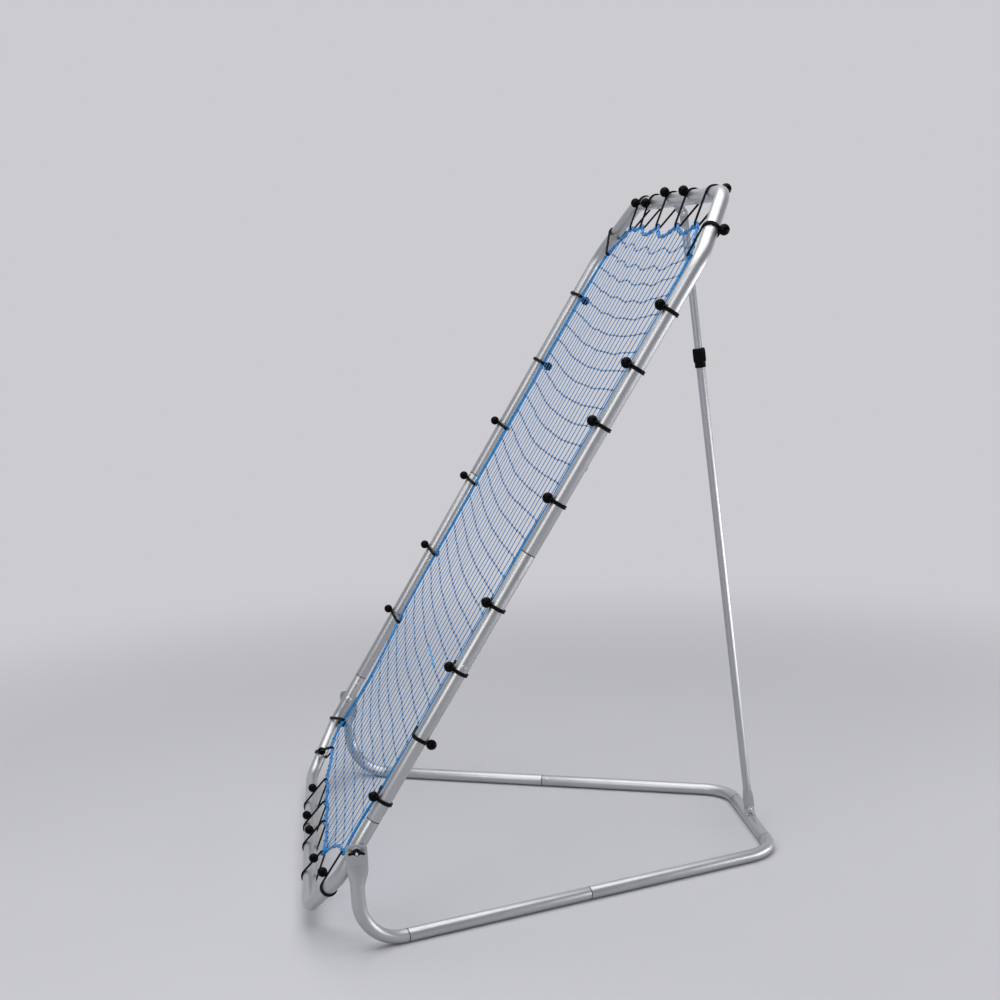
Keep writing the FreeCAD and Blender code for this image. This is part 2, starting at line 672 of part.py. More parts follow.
# Pivot bolts and wing nuts, right side
def pivot_parts():
    """Bolt, spacer, washer and wing nut on the right pivot."""
    def at(x):
        return V(x, 0, pivot_height)
    head_in = frame_half_width - tube_flat - seat_gap
    washer_in = plate_inner_face() + plate_thickness + seat_gap
    nut_in = washer_in + washer_thickness + seat_gap
    shank = nut_in + nut_height + bolt_stub - head_in
    hole = pivot_bolt_radius + running_clearance
    top, wide = bolt_head_height, bolt_head_radius
    bolt = turned([(-top, 0), (-top, 0.5 * wide), (-0.4 * top, wide), (0, wide), (0, pivot_bolt_radius),
                   (shank, pivot_bolt_radius)], at(head_in), X)
    spacer = washer(at(frame_half_width + tube_flat + seat_gap), X, spacer_radius, hole, spacer_thickness)
    flat_washer = washer(at(washer_in), X, washer_radius, hole, washer_thickness)
    low, high, bore = nut_base_radius, nut_top_radius, around(hole)
    hub = turned([(0, low), (3, low), (nut_height - 2, high), (nut_height, high - 1),
                  (nut_height, bore), (0, bore)], at(nut_in), X)
    half, thick, tip = nut_wing_span / 2, nut_wing_thickness / 2, nut_height + nut_wing_rise
    near = 0.5 * (pivot_bolt_radius + high)
    wing = [(3, near), (2, low), (nut_height - 5, half - 1.5), (tip - 5, half), (tip - 1, half - 1.5),
            (tip, half - 4), (tip - 2, half - 7), (nut_height - 1, high + 1), (nut_height - 1, near)]
    wings = [outline([V(nut_in + a, way * b, pivot_height - thick) for a, b in wing]).extrude(Z * (2 * thick))
             for way in (1, -1)]
    nut = drill(fuse([hub] + wings), at(nut_in), X, hole, 4 * nut_height)
    return bolt, spacer, flat_washer, nut


def main():
    """Builds every piece and writes one file per node."""
    os.makedirs("parts", exist_ok=True)
    nodes = {}

    bottom, side, top = frame_tubes()
    nodes["frame_bottom_bend"] = on_frame(bottom)
    nodes["frame_side_right"] = on_frame(side)
    nodes["frame_side_left"] = on_frame(mirrored(side))
    nodes["frame_top_bend"] = on_frame(top)
    nodes["frame_rivets"] = on_frame(frame_rivets())
    button = spring_button(V(frame_half_width, lower_seam - frame_button_drop, 0), X * -1)
    nodes["frame_button_right"] = on_frame(button)
    nodes["frame_button_left"] = on_frame(mirrored(button))

    route = rope_route()
    nodes["edge_rope"] = on_frame(edge_rope(route))
    sides = {"lower_right": "bottom", "lower_left": "bottom", "upper_right": "top", "upper_left": "top"}
    loops, balls, notches = {}, {}, []
    for entry, enter, leave in zip(LOOPS, route[::4], route[1::4]):
        loop, ball, notch = elastic_loop(entry, enter, leave)
        group = sides.get(entry[0], entry[0])
        loops.setdefault(group, []).append(loop)
        balls.setdefault(group, []).append(ball)
        notches.append(notch)
    for group in loops:
        nodes["elastic_loops_" + group] = on_frame(Part.makeCompound(loops[group]))
        nodes["loop_balls_" + group] = on_frame(Part.makeCompound(balls[group]))
    net, meshes = net_panel(route, notches)
    nodes["net"] = on_frame(net)

    rail_front, rail_rear = rails()
    centre, way = rail_button()
    bolt, spacer, flat_washer, nut = pivot_parts()
    for name, shape in (("base_neck", neck()), ("base_rail_front", rail_front), ("base_rail_rear", rail_rear),
                        ("rail_button", spring_button(centre, way, rail_direction())), ("pivot_bolt", bolt),
                        ("wing_nut", nut)):
        nodes[name + "_right"] = shape
        nodes[name + "_left"] = mirrored(shape)
    nodes["pivot_spacers"] = Part.makeCompound([spacer, mirrored(spacer)])
    nodes["pivot_washers"] = Part.makeCompound([flat_washer, mirrored(flat_washer)])
    nodes["base_rear_bar"] = tube([rear_bar_centre - X * rear_bar_half, rear_bar_centre + X * rear_bar_half])
    nodes["strut_foot_bracket"] = two_ear_bracket(
        rear_bar_centre, Z, foot_pin, foot_thickness, foot_bracket_width,
        foot_bracket_length, foot_bolt_radius)
    nodes["strut_foot_bolt"] = cross_bolt(foot_pin, foot_thickness, foot_bolt_radius)
    nodes["strut_head_bracket"] = two_ear_bracket(
        top_bar, FRAME.Rotation.multVec(Z), head_pin, head_thickness, head_bracket_width,
        head_bracket_length, head_pin_radius)
    nodes["strut_head_pin"] = cross_bolt(head_pin, head_thickness, head_pin_radius)
    nodes["strut_lower_tube"], nodes["strut_upper_tube"], nodes["twist_collar"] = strut_pieces()

    depths = [corner_point.Y for shape in nodes.values() for corner_point in shape.Vertexes]
    forward = -(min(depths) + max(depths)) / 2
    for name, shape in nodes.items():
        moved = shape.copy()
        moved.translate(Y * forward)
        moved.exportStep("parts/" + name + ".step")
    run = head_middle() - foot_pin
    print("nodes", len(nodes), "solids", sum(len(shape.Solids) for shape in nodes.values()), "meshes", meshes)
    print("moved forward", round(forward, 3), "strut", round(run.Length, 3), "from the foot bolt, lean",
          round(math.degrees(math.atan2(run.z, run.y)), 4))
    print("head pin", head_pin, "top bar", top_bar, "frame origin", frame_origin)


main()
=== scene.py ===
"""Looks of the pitch back rebounder: coated tubes, braided rope, knotted net, elastic loops, hardware.

Lengths in the classes are in millimetres, laid out as in the part's source: X runs along the pivot
line, Y to the rear, Z up from the floor. `Skin.build` turns them into metres and moves them to the frame.
"""
import logging
import math
import random
from dataclasses import dataclass
from enum import Enum
from typing import Callable, Iterable, Optional, Sequence

import bmesh
import bpy
from mathutils import Matrix, Vector


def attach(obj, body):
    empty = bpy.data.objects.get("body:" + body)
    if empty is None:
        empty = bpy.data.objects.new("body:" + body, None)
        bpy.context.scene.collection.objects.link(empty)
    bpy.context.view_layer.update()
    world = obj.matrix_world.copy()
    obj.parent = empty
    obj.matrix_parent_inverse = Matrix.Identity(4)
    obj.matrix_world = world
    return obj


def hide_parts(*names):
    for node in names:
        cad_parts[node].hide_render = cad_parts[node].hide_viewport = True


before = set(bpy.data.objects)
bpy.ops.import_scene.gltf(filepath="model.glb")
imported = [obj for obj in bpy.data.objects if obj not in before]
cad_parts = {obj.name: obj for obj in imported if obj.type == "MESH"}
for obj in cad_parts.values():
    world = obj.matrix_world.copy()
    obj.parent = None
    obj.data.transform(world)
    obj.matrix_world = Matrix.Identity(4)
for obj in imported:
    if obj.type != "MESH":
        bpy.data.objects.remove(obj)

log = logging.getLogger("rebounder")
MM = 0.001
FORWARD = Vector((0.0, -538.49, 0.0))  # from the layout's origin to the frame's
X, Y, Z = Vector((1, 0, 0)), Vector((0, 1, 0)), Vector((0, 0, 1))
Row = tuple[Vector, Vector, float]
Triple = tuple[float, float, float]
Socket = bpy.types.NodeSocket
SIDES = 48  # points around a tube
GAUGE = 100.0  # length in millimetres that counts as one along a tube
TIP = 0.02  # radius that stands in for a point on a turned form's axis
CORD_EDGE = 80.0  # angle in degrees from which an edge on a cord stays sharp

# How a tube narrows to its spigot: reach past its end, share of the way from spigot size to tube size
SPIGOT_STEPS = ((0.0, 1.0), (0.8, 0.93), (2.2, 0.2), (3.0, 0.0), (40.0, 0.0))


class Body(Enum):
    """Moving bodies that a piece can ride on."""

    BASE = "base"
    NET_FRAME = "net_frame"
    STRUT_LOWER = "strut_lower"
    STRUT_UPPER = "strut_upper"
    COLLAR = "collar"


class Side(Enum):
    """Which half of the rebounder a piece stands on."""

    RIGHT = 1
    LEFT = -1

    @property
    def word(self) -> str:
        """Name of the side as the nodes spell it."""
        return self.name.lower()

    def place(self, point: Vector) -> Vector:
        """Point drawn for the right side, moved to this one."""
        return Vector((point.x * self.value, point.y, point.z))


# Finishes

class NodeSheet:
    """Small helper that lays out shader nodes of one material."""

    def __init__(self, name: str) -> None:
        """Starts an empty material with its output and surface shader."""
        self.material = bpy.data.materials.new(name)
        self.material.use_nodes = True
        self.tree = self.material.node_tree
        self.tree.nodes.clear()
        self.out = self.tree.nodes.new("ShaderNodeOutputMaterial")
        self.surface = self.tree.nodes.new("ShaderNodeBsdfPrincipled")
        self.link(self.surface.outputs["BSDF"], self.out.inputs["Surface"])

    def link(self, start: Socket, end: Socket) -> None:
        """Joins two sockets."""
        self.tree.links.new(start, end)

    def feed(self, name: str, value: Socket) -> None:
        """Leads a value into one input of the surface shader."""
        self.link(value, self.surface.inputs[name])

    def node(self, kind: str, **values: object) -> bpy.types.Node:
        """Adds a node.

        Args:
            kind: Type of the node, without the prefix ShaderNode.
            values: Settings of the node, or with a leading `in_` the defaults of its inputs.

        Returns:
            The new node.
        """
        made = self.tree.nodes.new("ShaderNode" + kind)
        for key, value in values.items():
            if key.startswith("in_"):
                made.inputs[key[3:].replace("_", " ")].default_value = value
            else:
                setattr(made, key, value)
        return made

    def set(self, **values: object) -> None:
        """Sets plain values on the surface shader's own sockets."""
        for key, value in values.items():
            self.surface.inputs[key.replace("_", " ")].default_value = value

    def coordinates(self, kind: str = "Object") -> Socket:
        """Texture coordinates of the given kind."""
        return self.node("TexCoord").outputs[kind]

    def noise(self, at: Socket, scale: float, detail: float = 3.0,
              stretch: Sequence[float] = (1, 1, 1)) -> Socket:
        """Noise over the given coordinates, stretched along chosen axes."""
        mapping = self.node("Mapping", in_Scale=stretch)
        self.link(at, mapping.inputs["Vector"])
        texture = self.node("TexNoise", in_Scale=scale, in_Detail=detail)
        self.link(mapping.outputs["Vector"], texture.inputs["Vector"])
        return texture.outputs["Fac"]

    def bands(self, at: Socket, scale: Sequence[float]) -> Socket:
        """Diagonal bands over unwrapped coordinates."""
        mapping = self.node("Mapping", in_Scale=scale)
        self.link(at, mapping.inputs["Vector"])
        texture = self.node("TexWave", wave_type="BANDS", bands_direction="DIAGONAL", wave_profile="SIN",
                            in_Scale=0.31831)
        self.link(mapping.outputs["Vector"], texture.inputs["Vector"])
        return texture.outputs["Fac"]

    def math(self, how: str, a: Socket, b: Socket | float) -> Socket:
        """Result of one sum on two values."""
        made = self.node("Math", operation=how)
        self.link(a, made.inputs[0])
        if isinstance(b, (int, float)):
            made.inputs[1].default_value = b
        else:
            self.link(b, made.inputs[1])
        return made.outputs[0]

    def ramp(self, value: Socket, stops: Sequence[tuple[float, Triple]]) -> Socket:
        """Colours along a value."""
        made = self.node("ValToRGB")
        elements = made.color_ramp.elements
        for element, (place, colour) in zip(elements, stops):
            element.position, element.color = place, (*colour, 1)
        for place, colour in stops[2:]:
            elements.new(place).color = (*colour, 1)
        self.link(value, made.inputs["Fac"])
        return made.outputs["Color"]

    def spread(self, value: Socket, low: float, high: float) -> Socket:
        """Value from 0 to 1 spread between two others."""
        made = self.node("MapRange", in_To_Min=low, in_To_Max=high)
        self.link(value, made.inputs["Value"])
        return made.outputs["Result"]

    def bump(self, height: Socket, strength: float, distance: float) -> None:
        """Raises the surface by a height."""
        made = self.node("Bump", in_Strength=strength, in_Distance=distance)
        self.link(height, made.inputs["Height"])
        self.feed("Normal", made.outputs["Normal"])


@dataclass(frozen=True)
class SatinCoat:
    """Silver paint with fine metal flake on the steel tubes."""

    name: str = "silver_coat"
    colour: Triple = (0.50, 0.51, 0.52)
    shade: Triple = (0.44, 0.45, 0.465)
    roughness: tuple[float, float] = (0.34, 0.44)

    def make(self) -> bpy.types.Material:
        """Builds the material."""
        sheet = NodeSheet(self.name)
        at = sheet.coordinates()
        cloud = sheet.noise(at, 9.0, 4.0)
        flake = sheet.noise(at, 2600.0, 1.0)
        mixed = sheet.math("MULTIPLY", sheet.math("ADD", cloud, flake), 0.5)
        sheet.feed("Base Color", sheet.ramp(mixed, [(0.36, self.shade), (0.62, self.colour)]))
        smear = sheet.noise(at, 34.0, 5.0, (1, 1, 0.3))
        sheet.feed("Roughness", sheet.spread(smear, *self.roughness))
        sheet.set(Metallic=0.9, Coat_Weight=0.25, Coat_Roughness=0.2)
        orange_peel = sheet.math("ADD", sheet.noise(at, 520.0, 2.0), sheet.noise(at, 1500.0, 1.0))
        sheet.bump(orange_peel, 0.06, 0.00025)
        return sheet.material


@dataclass(frozen=True)
class BrightZinc:
    """Plated steel of bolts, rivets, washers and brackets."""

    name: str = "bright_zinc"
    colour: Triple = (0.66, 0.67, 0.68)
    dull: Triple = (0.50, 0.51, 0.54)
    roughness: tuple[float, float] = (0.2, 0.36)

    def make(self) -> bpy.types.Material:
        """Builds the material."""
        sheet = NodeSheet(self.name)
        at = sheet.coordinates()
        cloud = sheet.noise(at, 120.0, 4.0)
        sheet.feed("Base Color", sheet.ramp(cloud, [(0.35, self.dull), (0.65, self.colour)]))
        sheet.feed("Roughness", sheet.spread(sheet.noise(at, 420.0, 3.0), *self.roughness))
        sheet.set(Metallic=1.0)
        sheet.bump(sheet.noise(at, 900.0, 2.0), 0.1, 0.0002)
        return sheet.material


@dataclass(frozen=True)
class Braid:
    """Braided or twisted cord; its coordinates run along and around the cord."""

    name: str
    bright: Triple
    dark: Triple
    along: float
    around: int
    crossed: bool
    roughness: float
    sheen: float = 0.2
    gloss: float = 0.4

    def make(self) -> bpy.types.Material:
        """Builds the material."""
        sheet = NodeSheet(self.name)
        at = sheet.coordinates("UV")
        around = 2 * math.pi * self.around
        weave = sheet.bands(at, (self.along, around, 0))
        if self.crossed:
            weave = sheet.math("MAXIMUM", weave, sheet.bands(at, (-self.along, around, 0)))
        fibre = sheet.noise(sheet.coordinates(), 1900.0, 2.0)
        worn = sheet.noise(sheet.coordinates(), 26.0, 3.0)
        # The weave bands darken the colour where the bump sinks into the braid's grooves: painted shade
        # there, mixed with worn tone and fibre speckle
        tone = sheet.math("ADD", sheet.math("MULTIPLY", weave, 0.55), sheet.math("MULTIPLY", worn, 0.45))
        tone = sheet.math("ADD", tone, sheet.math("MULTIPLY", fibre, 0.12))
        sheet.feed("Base Color", sheet.ramp(tone, [(0.22, self.dark), (0.78, self.bright)]))
        sheet.set(Roughness=self.roughness, Sheen_Weight=self.sheen, Sheen_Roughness=0.4,
                  Specular_IOR_Level=self.gloss)
        sheet.bump(sheet.math("ADD", weave, sheet.math("MULTIPLY", fibre, 0.3)), 0.6, 0.0005)
        return sheet.material


@dataclass(frozen=True)
class MouldedPlastic:
    """Black moulded plastic, from the smooth balls to the matt grip collar, and the near-black painted
    shade ring in the tube joints' gaps.
    """

    name: str
    colour: Triple
    pale: Triple
    roughness: tuple[float, float]
    grain: float
    gloss: float = 0.05

    def make(self) -> bpy.types.Material:
        """Builds the material."""
        sheet = NodeSheet(self.name)
        at = sheet.coordinates()
        dust = sheet.noise(at, 60.0, 5.0)
        sheet.feed("Base Color", sheet.ramp(dust, [(0.45, self.colour), (0.8, self.pale)]))
        sheet.feed("Roughness", sheet.spread(sheet.noise(at, 180.0, 3.0), *self.roughness))
        sheet.set(Specular_IOR_Level=self.gloss)
        sheet.bump(sheet.noise(at, 2200.0, 2.0), self.grain, 0.0002)
        return sheet.material


def seen_rays(tree: bpy.types.NodeTree) -> Socket:
    """Value that is 1 for rays of the camera, also by way of gloss or through glass."""
    rays = tree.nodes.new("ShaderNodeLightPath")
    seen = rays.outputs["Is Camera Ray"]
    for kind in ("Is Glossy Ray", "Is Transmission Ray"):
        higher = tree.nodes.new("ShaderNodeMath")
        higher.operation = "MAXIMUM"
        tree.links.new(seen, higher.inputs[0])
        tree.links.new(rays.outputs[kind], higher.inputs[1])
        seen = higher.outputs[0]
    return seen


@dataclass(frozen=True)
class StudioFloor:
    """Pale paper: lit where the rebounder stands, an even pale grey farther off."""

    name: str = "floor_paper"
    colour: Triple = (0.60, 0.60, 0.625)
    shade: Triple = (0.59, 0.59, 0.615)
    far: Triple = (0.60, 0.597, 0.632)
    lit_radius: float = 1.6
    far_radius: float = 4.2

    def make(self) -> bpy.types.Material:
        """Builds the material."""
        sheet = NodeSheet(self.name)
        at = sheet.coordinates()
        cloud = sheet.noise(at, 1.3, 3.0)
        sheet.feed("Base Color", sheet.ramp(cloud, [(0.3, self.shade), (0.7, self.colour)]))
        sheet.set(Roughness=0.75)
        sheet.bump(sheet.noise(at, 300.0, 3.0), 0.05, 0.0005)
        distance = sheet.node("VectorMath", operation="LENGTH")
        sheet.link(at, distance.inputs[0])
        fade = sheet.node("MapRange", interpolation_type="SMOOTHSTEP", in_From_Min=self.lit_radius,
                          in_From_Max=self.far_radius)
        sheet.link(distance.outputs["Value"], fade.inputs["Value"])
        glow = sheet.node("Emission", in_Color=(*self.far, 1))
        both = sheet.node("MixShader")
        share = sheet.math("MULTIPLY", seen_rays(sheet.tree), fade.outputs["Result"])
        sheet.link(share, both.inputs[0])
        sheet.link(sheet.surface.outputs["BSDF"], both.inputs[1])
        sheet.link(glow.outputs["Emission"], both.inputs[2])
        sheet.link(both.outputs["Shader"], sheet.out.inputs["Surface"])
        return sheet.material


class Finishes:
    """One material of each finish, with the record's slot that it stands for."""

    def __init__(self) -> None:
        """Builds every material once."""
        self.tube = SatinCoat().make(), "steel_tube"
        self.zinc = BrightZinc().make(), "zinc_hardware"
        self.twine = Braid("net_twine", (0.006, 0.27, 0.66), (0.003, 0.15, 0.43),
                           9.0, 1, False, 0.5).make(), "net_cord"
        # Painted shade: the knots get a darker copy of the twine's blue, standing in for the shade of
        # their bulk
        self.knot = Braid("twine_knot_painted_shade", (0.003, 0.08, 0.24), (0.002, 0.03, 0.11),
                          9.0, 1, False, 0.6).make(), "net_cord"
        self.repair = Braid("repair_twine", (0.02, 0.42, 0.88), (0.01, 0.26, 0.66),
                            9.0, 1, False, 0.5).make(), "net_cord"
        self.rope = Braid("edge_rope_braid", (0.005, 0.25, 0.62), (0.002, 0.11, 0.34),
                          12.0, 4, True, 0.48).make(), "edge_cord"
        self.elastic = Braid("elastic_cover", (0.005, 0.005, 0.0055), (0.001, 0.001, 0.0012),
                             16.0, 4, True, 0.6, 0.0, 0.12).make(), "elastic_cord"
        self.ball = MouldedPlastic("ball_plastic", (0.0015, 0.0015, 0.0017), (0.003, 0.003, 0.0032),
                                   (0.2, 0.3), 0.04).make(), "ball_plastic"
        # Painted shade: near-black ring colour that stands in for the shadow in each tube joint's gap
        self.joint = MouldedPlastic("joint_shadow", (0.004, 0.004, 0.004), (0.008, 0.008, 0.008),
                                    (0.7, 0.8), 0.2).make(), "steel_tube"
        self.black = MouldedPlastic("black_plastic", (0.003, 0.003, 0.0034), (0.007, 0.007, 0.0075),
                                    (0.38, 0.5), 0.2).make(), "black_plastic"


# Meshes

def unit(vector: Vector) -> Vector:
    """Same direction, length one."""
    return vector.normalized()


def mix(a: float, b: float, share: float) -> float:
    """Value part of the way from one to another."""
    return a + (b - a) * share


def held(value: float, low: float = 0.0, high: float = 1.0) -> float:
    """Value kept between two limits."""
    return max(low, min(high, value))


def turns(count: int) -> list[float]:
    """Angles of a full turn in equal steps, in radians."""
    return [2 * math.pi * k / count for k in range(count)]


def spline(a: Vector | float, b: Vector | float, c: Vector | float, d: Vector | float,
           share: float) -> Vector | float:
    """Value between the second and third of four on a smooth curve through them."""
    return 0.5 * (b * 2 + (c - a) * share + (a * 2 - b * 5 + c * 4 - d) * share ** 2
                  + (b * 3 - a - c * 3 + d) * share ** 3)


def pressed_spot(turn: float, radius: float, width: float, thick: float, share: float,
                 fullness: tuple[float, float]) -> tuple[float, float]:
    """Point of a tube's section between round and pressed flat.

    Args:
        turn: Angle of the point around the section.
        radius: Radius of the round tube.
        width: Width of the flat.
        thick: Thickness of the flat.
        share: 0 where it is round and 1 where it is flat.
        fullness: How soon around the turn the flat is at its full thickness and width.

    Returns:
        Offsets through and across the flat.
    """
    c, s = math.cos(turn), math.sin(turn)
    through = thick / 2 * held(c * fullness[0], -1.0)
    across = (width - thick) / 2 * held(s * fullness[1], -1.0) + thick / 2 * s * abs(s)
    return mix(radius * c, through, share), mix(radius * s, across, share)


def ring(centre: Vector, direction: Vector, reference: Vector, radius: float,
         sides: int = SIDES) -> list[Vector]:
    """Points of a circle square to a direction."""
    run = unit(direction)
    a = unit(reference - run * reference.dot(run))
    b = run.cross(a)
    return [centre + a * (radius * math.cos(t)) + b * (radius * math.sin(t)) for t in turns(sides)]


def eased(profile: Sequence[tuple[float, float]], size: float,
          steps: int = 3) -> list[tuple[float, float]]:
    """Profile of (along, radius) pairs with every inner corner rounded off."""
    found = [profile[0]]
    for before, point, after in zip(profile, profile[1:], profile[2:]):
        p, q, r = Vector(before), Vector(point), Vector(after)
        cut = min(size, 0.45 * (p - q).length, 0.45 * (r - q).length)
        start, end = q + unit(p - q) * cut, q + unit(r - q) * cut
        for k in range(steps + 1):
            t = k / steps
            found.append(tuple(start * (1 - t) ** 2 + q * (2 * t * (1 - t)) + end * t ** 2))
    return found + [profile[-1]]


def bent(points: Sequence[Vector], bend: float, step: float = 3.5) -> list[tuple[Vector, Vector]]:
    """Points and directions along straight runs with a round bend at every corner.

    Args:
        points: Corners of the route.
        bend: Radius of each bend.
        step: Turn between two points of a bend, in degrees.

    Returns:
        Pairs of point and direction.
    """
    found = [(points[0], unit(points[1] - points[0]))]
    for before, point, after in zip(points, points[1:], points[2:]):
        back, on = unit(before - point), unit(after - point)
        half = back.angle(on) / 2
        turn = math.pi - 2 * half
        centre = point + unit(back + on) * (bend / math.sin(half))
        enter = point + back * (bend / math.tan(half))
        axis = (-back).cross(on)
        count = max(2, math.ceil(math.degrees(turn) / step))
        for k in range(count + 1):
            swing = Matrix.Rotation(turn * k / count, 3, axis)
            found.append((centre + swing @ (enter - centre), swing @ -back))
    return found + [(points[-1], unit(points[-1] - points[-2]))]


def smooth_line(points: Sequence[Vector], steps: int) -> list[Vector]:
    """Line that runs smoothly through points."""
    ends = [points[0] * 2 - points[1], *points, points[-1] * 2 - points[-2]]
    found = []
    for four in zip(ends, ends[1:], ends[2:], ends[3:]):
        found += [spline(*four, k / steps) for k in range(steps)]
    return found + [points[-1]]


class Skin:
    """Collects rings of points into one mesh, with coordinates along and around each part."""

    def __init__(self) -> None:
        """Starts with no points."""
        self.points: list[Vector] = []
        self.faces: list[list[int]] = []
        self.spots: list[list[tuple[float, float]]] = []

    def rings(self, rings: Sequence[Sequence[Vector]], closed: bool = False, caps: bool = True,
              gauge: float = 1.0) -> "Skin":
        """Adds a skin through rings.

        Args:
            rings: Rings with as many points each.
            closed: Whether the last ring joins the first.
            caps: Whether open ends get flat faces.
            gauge: Length in millimetres that counts as one along the skin.

        Returns:
            This skin.
        """
        first, sides = len(self.points), len(rings[0])
        for one in rings:
            self.points += one
        middles = [sum(one, Vector()) / sides for one in rings]
        lengths = [0.0]
        for low, high in zip(middles, middles[1:] + middles[:1]):
            lengths.append(lengths[-1] + (high - low).length / gauge)
        count = len(rings)
        for r in range(count if closed else count - 1):
            low, high = first + r * sides, first + ((r + 1) % count) * sides
            for k in range(sides):
                j = (k + 1) % sides
                self.faces.append([low + k, low + j, high + j, high + k])
                a, b = k / sides, (k + 1) / sides
                near, far = lengths[r], lengths[r + 1]
                self.spots.append([(near, a), (near, b), (far, b), (far, a)])
        if caps and not closed:
            for start in (first, first + (count - 1) * sides):
                face = list(range(start, start + sides))
                self.faces.append(face[::-1] if start == first else face)
                self.spots.append([(0.0, 0.0)] * sides)
        return self

    def turned(self, profile: Sequence[tuple[float, float]], centre: Vector, axis: Vector,
               reference: Vector = Z, sides: int = 40) -> "Skin":
        """Adds a turned form from (along the axis, radius) pairs; a tip closes to a small disc."""
        run = unit(axis)
        return self.rings([ring(centre + run * along, run, reference, max(radius, TIP), sides)
                           for along, radius in profile])

    def swept(self, rows: Sequence[Row], reference: Vector) -> "Skin":
        """Adds a tube through rows of point, direction and radius."""
        return self.rings([ring(p, d, reference, r) for p, d, r in rows], gauge=GAUGE)

    def cord(self, line: Sequence[Vector], reference: Vector, radius: float, sides: int,
             closed: bool = False, shape: Optional[Callable[[float, float], float]] = None) -> "Skin":
        """Adds a cord along a line.

        Args:
            line: Points of its middle line.
            reference: A direction that the line never takes.
            radius: Radius of the cord.
            sides: Points around it.
            closed: Whether the line joins itself.
            shape: Share of the radius at a length along the cord, in millimetres, and a turn around it.

        Returns:
            This skin.
        """
        count, rows, along = len(line), [], 0.0
        for k, point in enumerate(line):
            before = line[k - 1] if closed or k else point
            after = line[(k + 1) % count] if closed or k < count - 1 else point
            circle = ring(point, after - before, reference, radius, sides)
            if shape:
                circle = [point + (spot - point) * shape(along, turn)
                          for turn, spot in zip(turns(sides), circle)]
            rows.append(circle)
            along += (after - point).length
        return self.rings(rows, closed, gauge=2 * math.pi * radius)

    def plate(self, outline: Sequence[Vector], depth: Vector, edge: float = 0.4) -> "Skin":
        """Adds a flat plate with softly broken edges.

        Args:
            outline: Corners of one face.
            depth: Thickness as a vector across the face.
            edge: Width of the broken edge.

        Returns:
            This skin.
        """
        across, middle = unit(depth), sum(outline, Vector()) / len(outline)
        broken = ((0, 1), (0.3, 0.3), (1, 0))
        corners = []
        for before, point, after in zip([outline[-1], *outline], outline, [*outline[1:], outline[0]]):
            first, second = unit(point - before), unit(after - point)
            inward = unit(across.cross(first + second))
            if inward.dot(middle - point) < 0:
                inward = -inward
            corners.append(inward * (edge / max(0.4, math.cos(first.angle(second) / 2))))
        rows = [[p + c * pull + across * (edge * lift) for p, c in zip(outline, corners)]
                for lift, pull in broken]
        rows += [[p + depth + c * pull - across * (edge * lift) for p, c in zip(outline, corners)]
                 for lift, pull in broken[::-1]]
        return self.rings(rows, gauge=GAUGE)

    def build(self, name: str, finish: tuple[bpy.types.Material, str], body: str,
              nodes: Iterable[str] = (), sharp: float = 38.0) -> bpy.types.Object:
        """Makes the object, dresses it and sets it on its body.

        Args:
            name: Name of the piece.
            finish: Material and slot.
            body: Body that it rides on.
            nodes: Solids that it stands for.
            sharp: Angle from which an edge stays sharp, in degrees.

        Returns:
            The new object.
        """
        mesh = bpy.data.meshes.new(name)
        mesh.from_pydata([(p + FORWARD) * MM for p in self.points], [], self.faces)
        layer = mesh.uv_layers.new(name="UVMap")
        layer.data.foreach_set("uv", [v for face in self.spots for spot in face for v in spot])
        sheet = bmesh.new()
        sheet.from_mesh(mesh)
        bmesh.ops.recalc_face_normals(sheet, faces=sheet.faces)
        sheet.to_mesh(mesh)
        sheet.free()
        mesh.shade_smooth()
        mesh.set_sharp_from_angle(angle=math.radians(sharp))
        material, slot = finish
        mesh.materials.append(material)
        made = bpy.data.objects.new(name, mesh)
        bpy.context.scene.collection.objects.link(made)
        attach(made, body)
        if nodes:
            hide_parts(*nodes)
        log.info("%s: %d faces", name, len(self.faces))
        return made


# Shared sizes

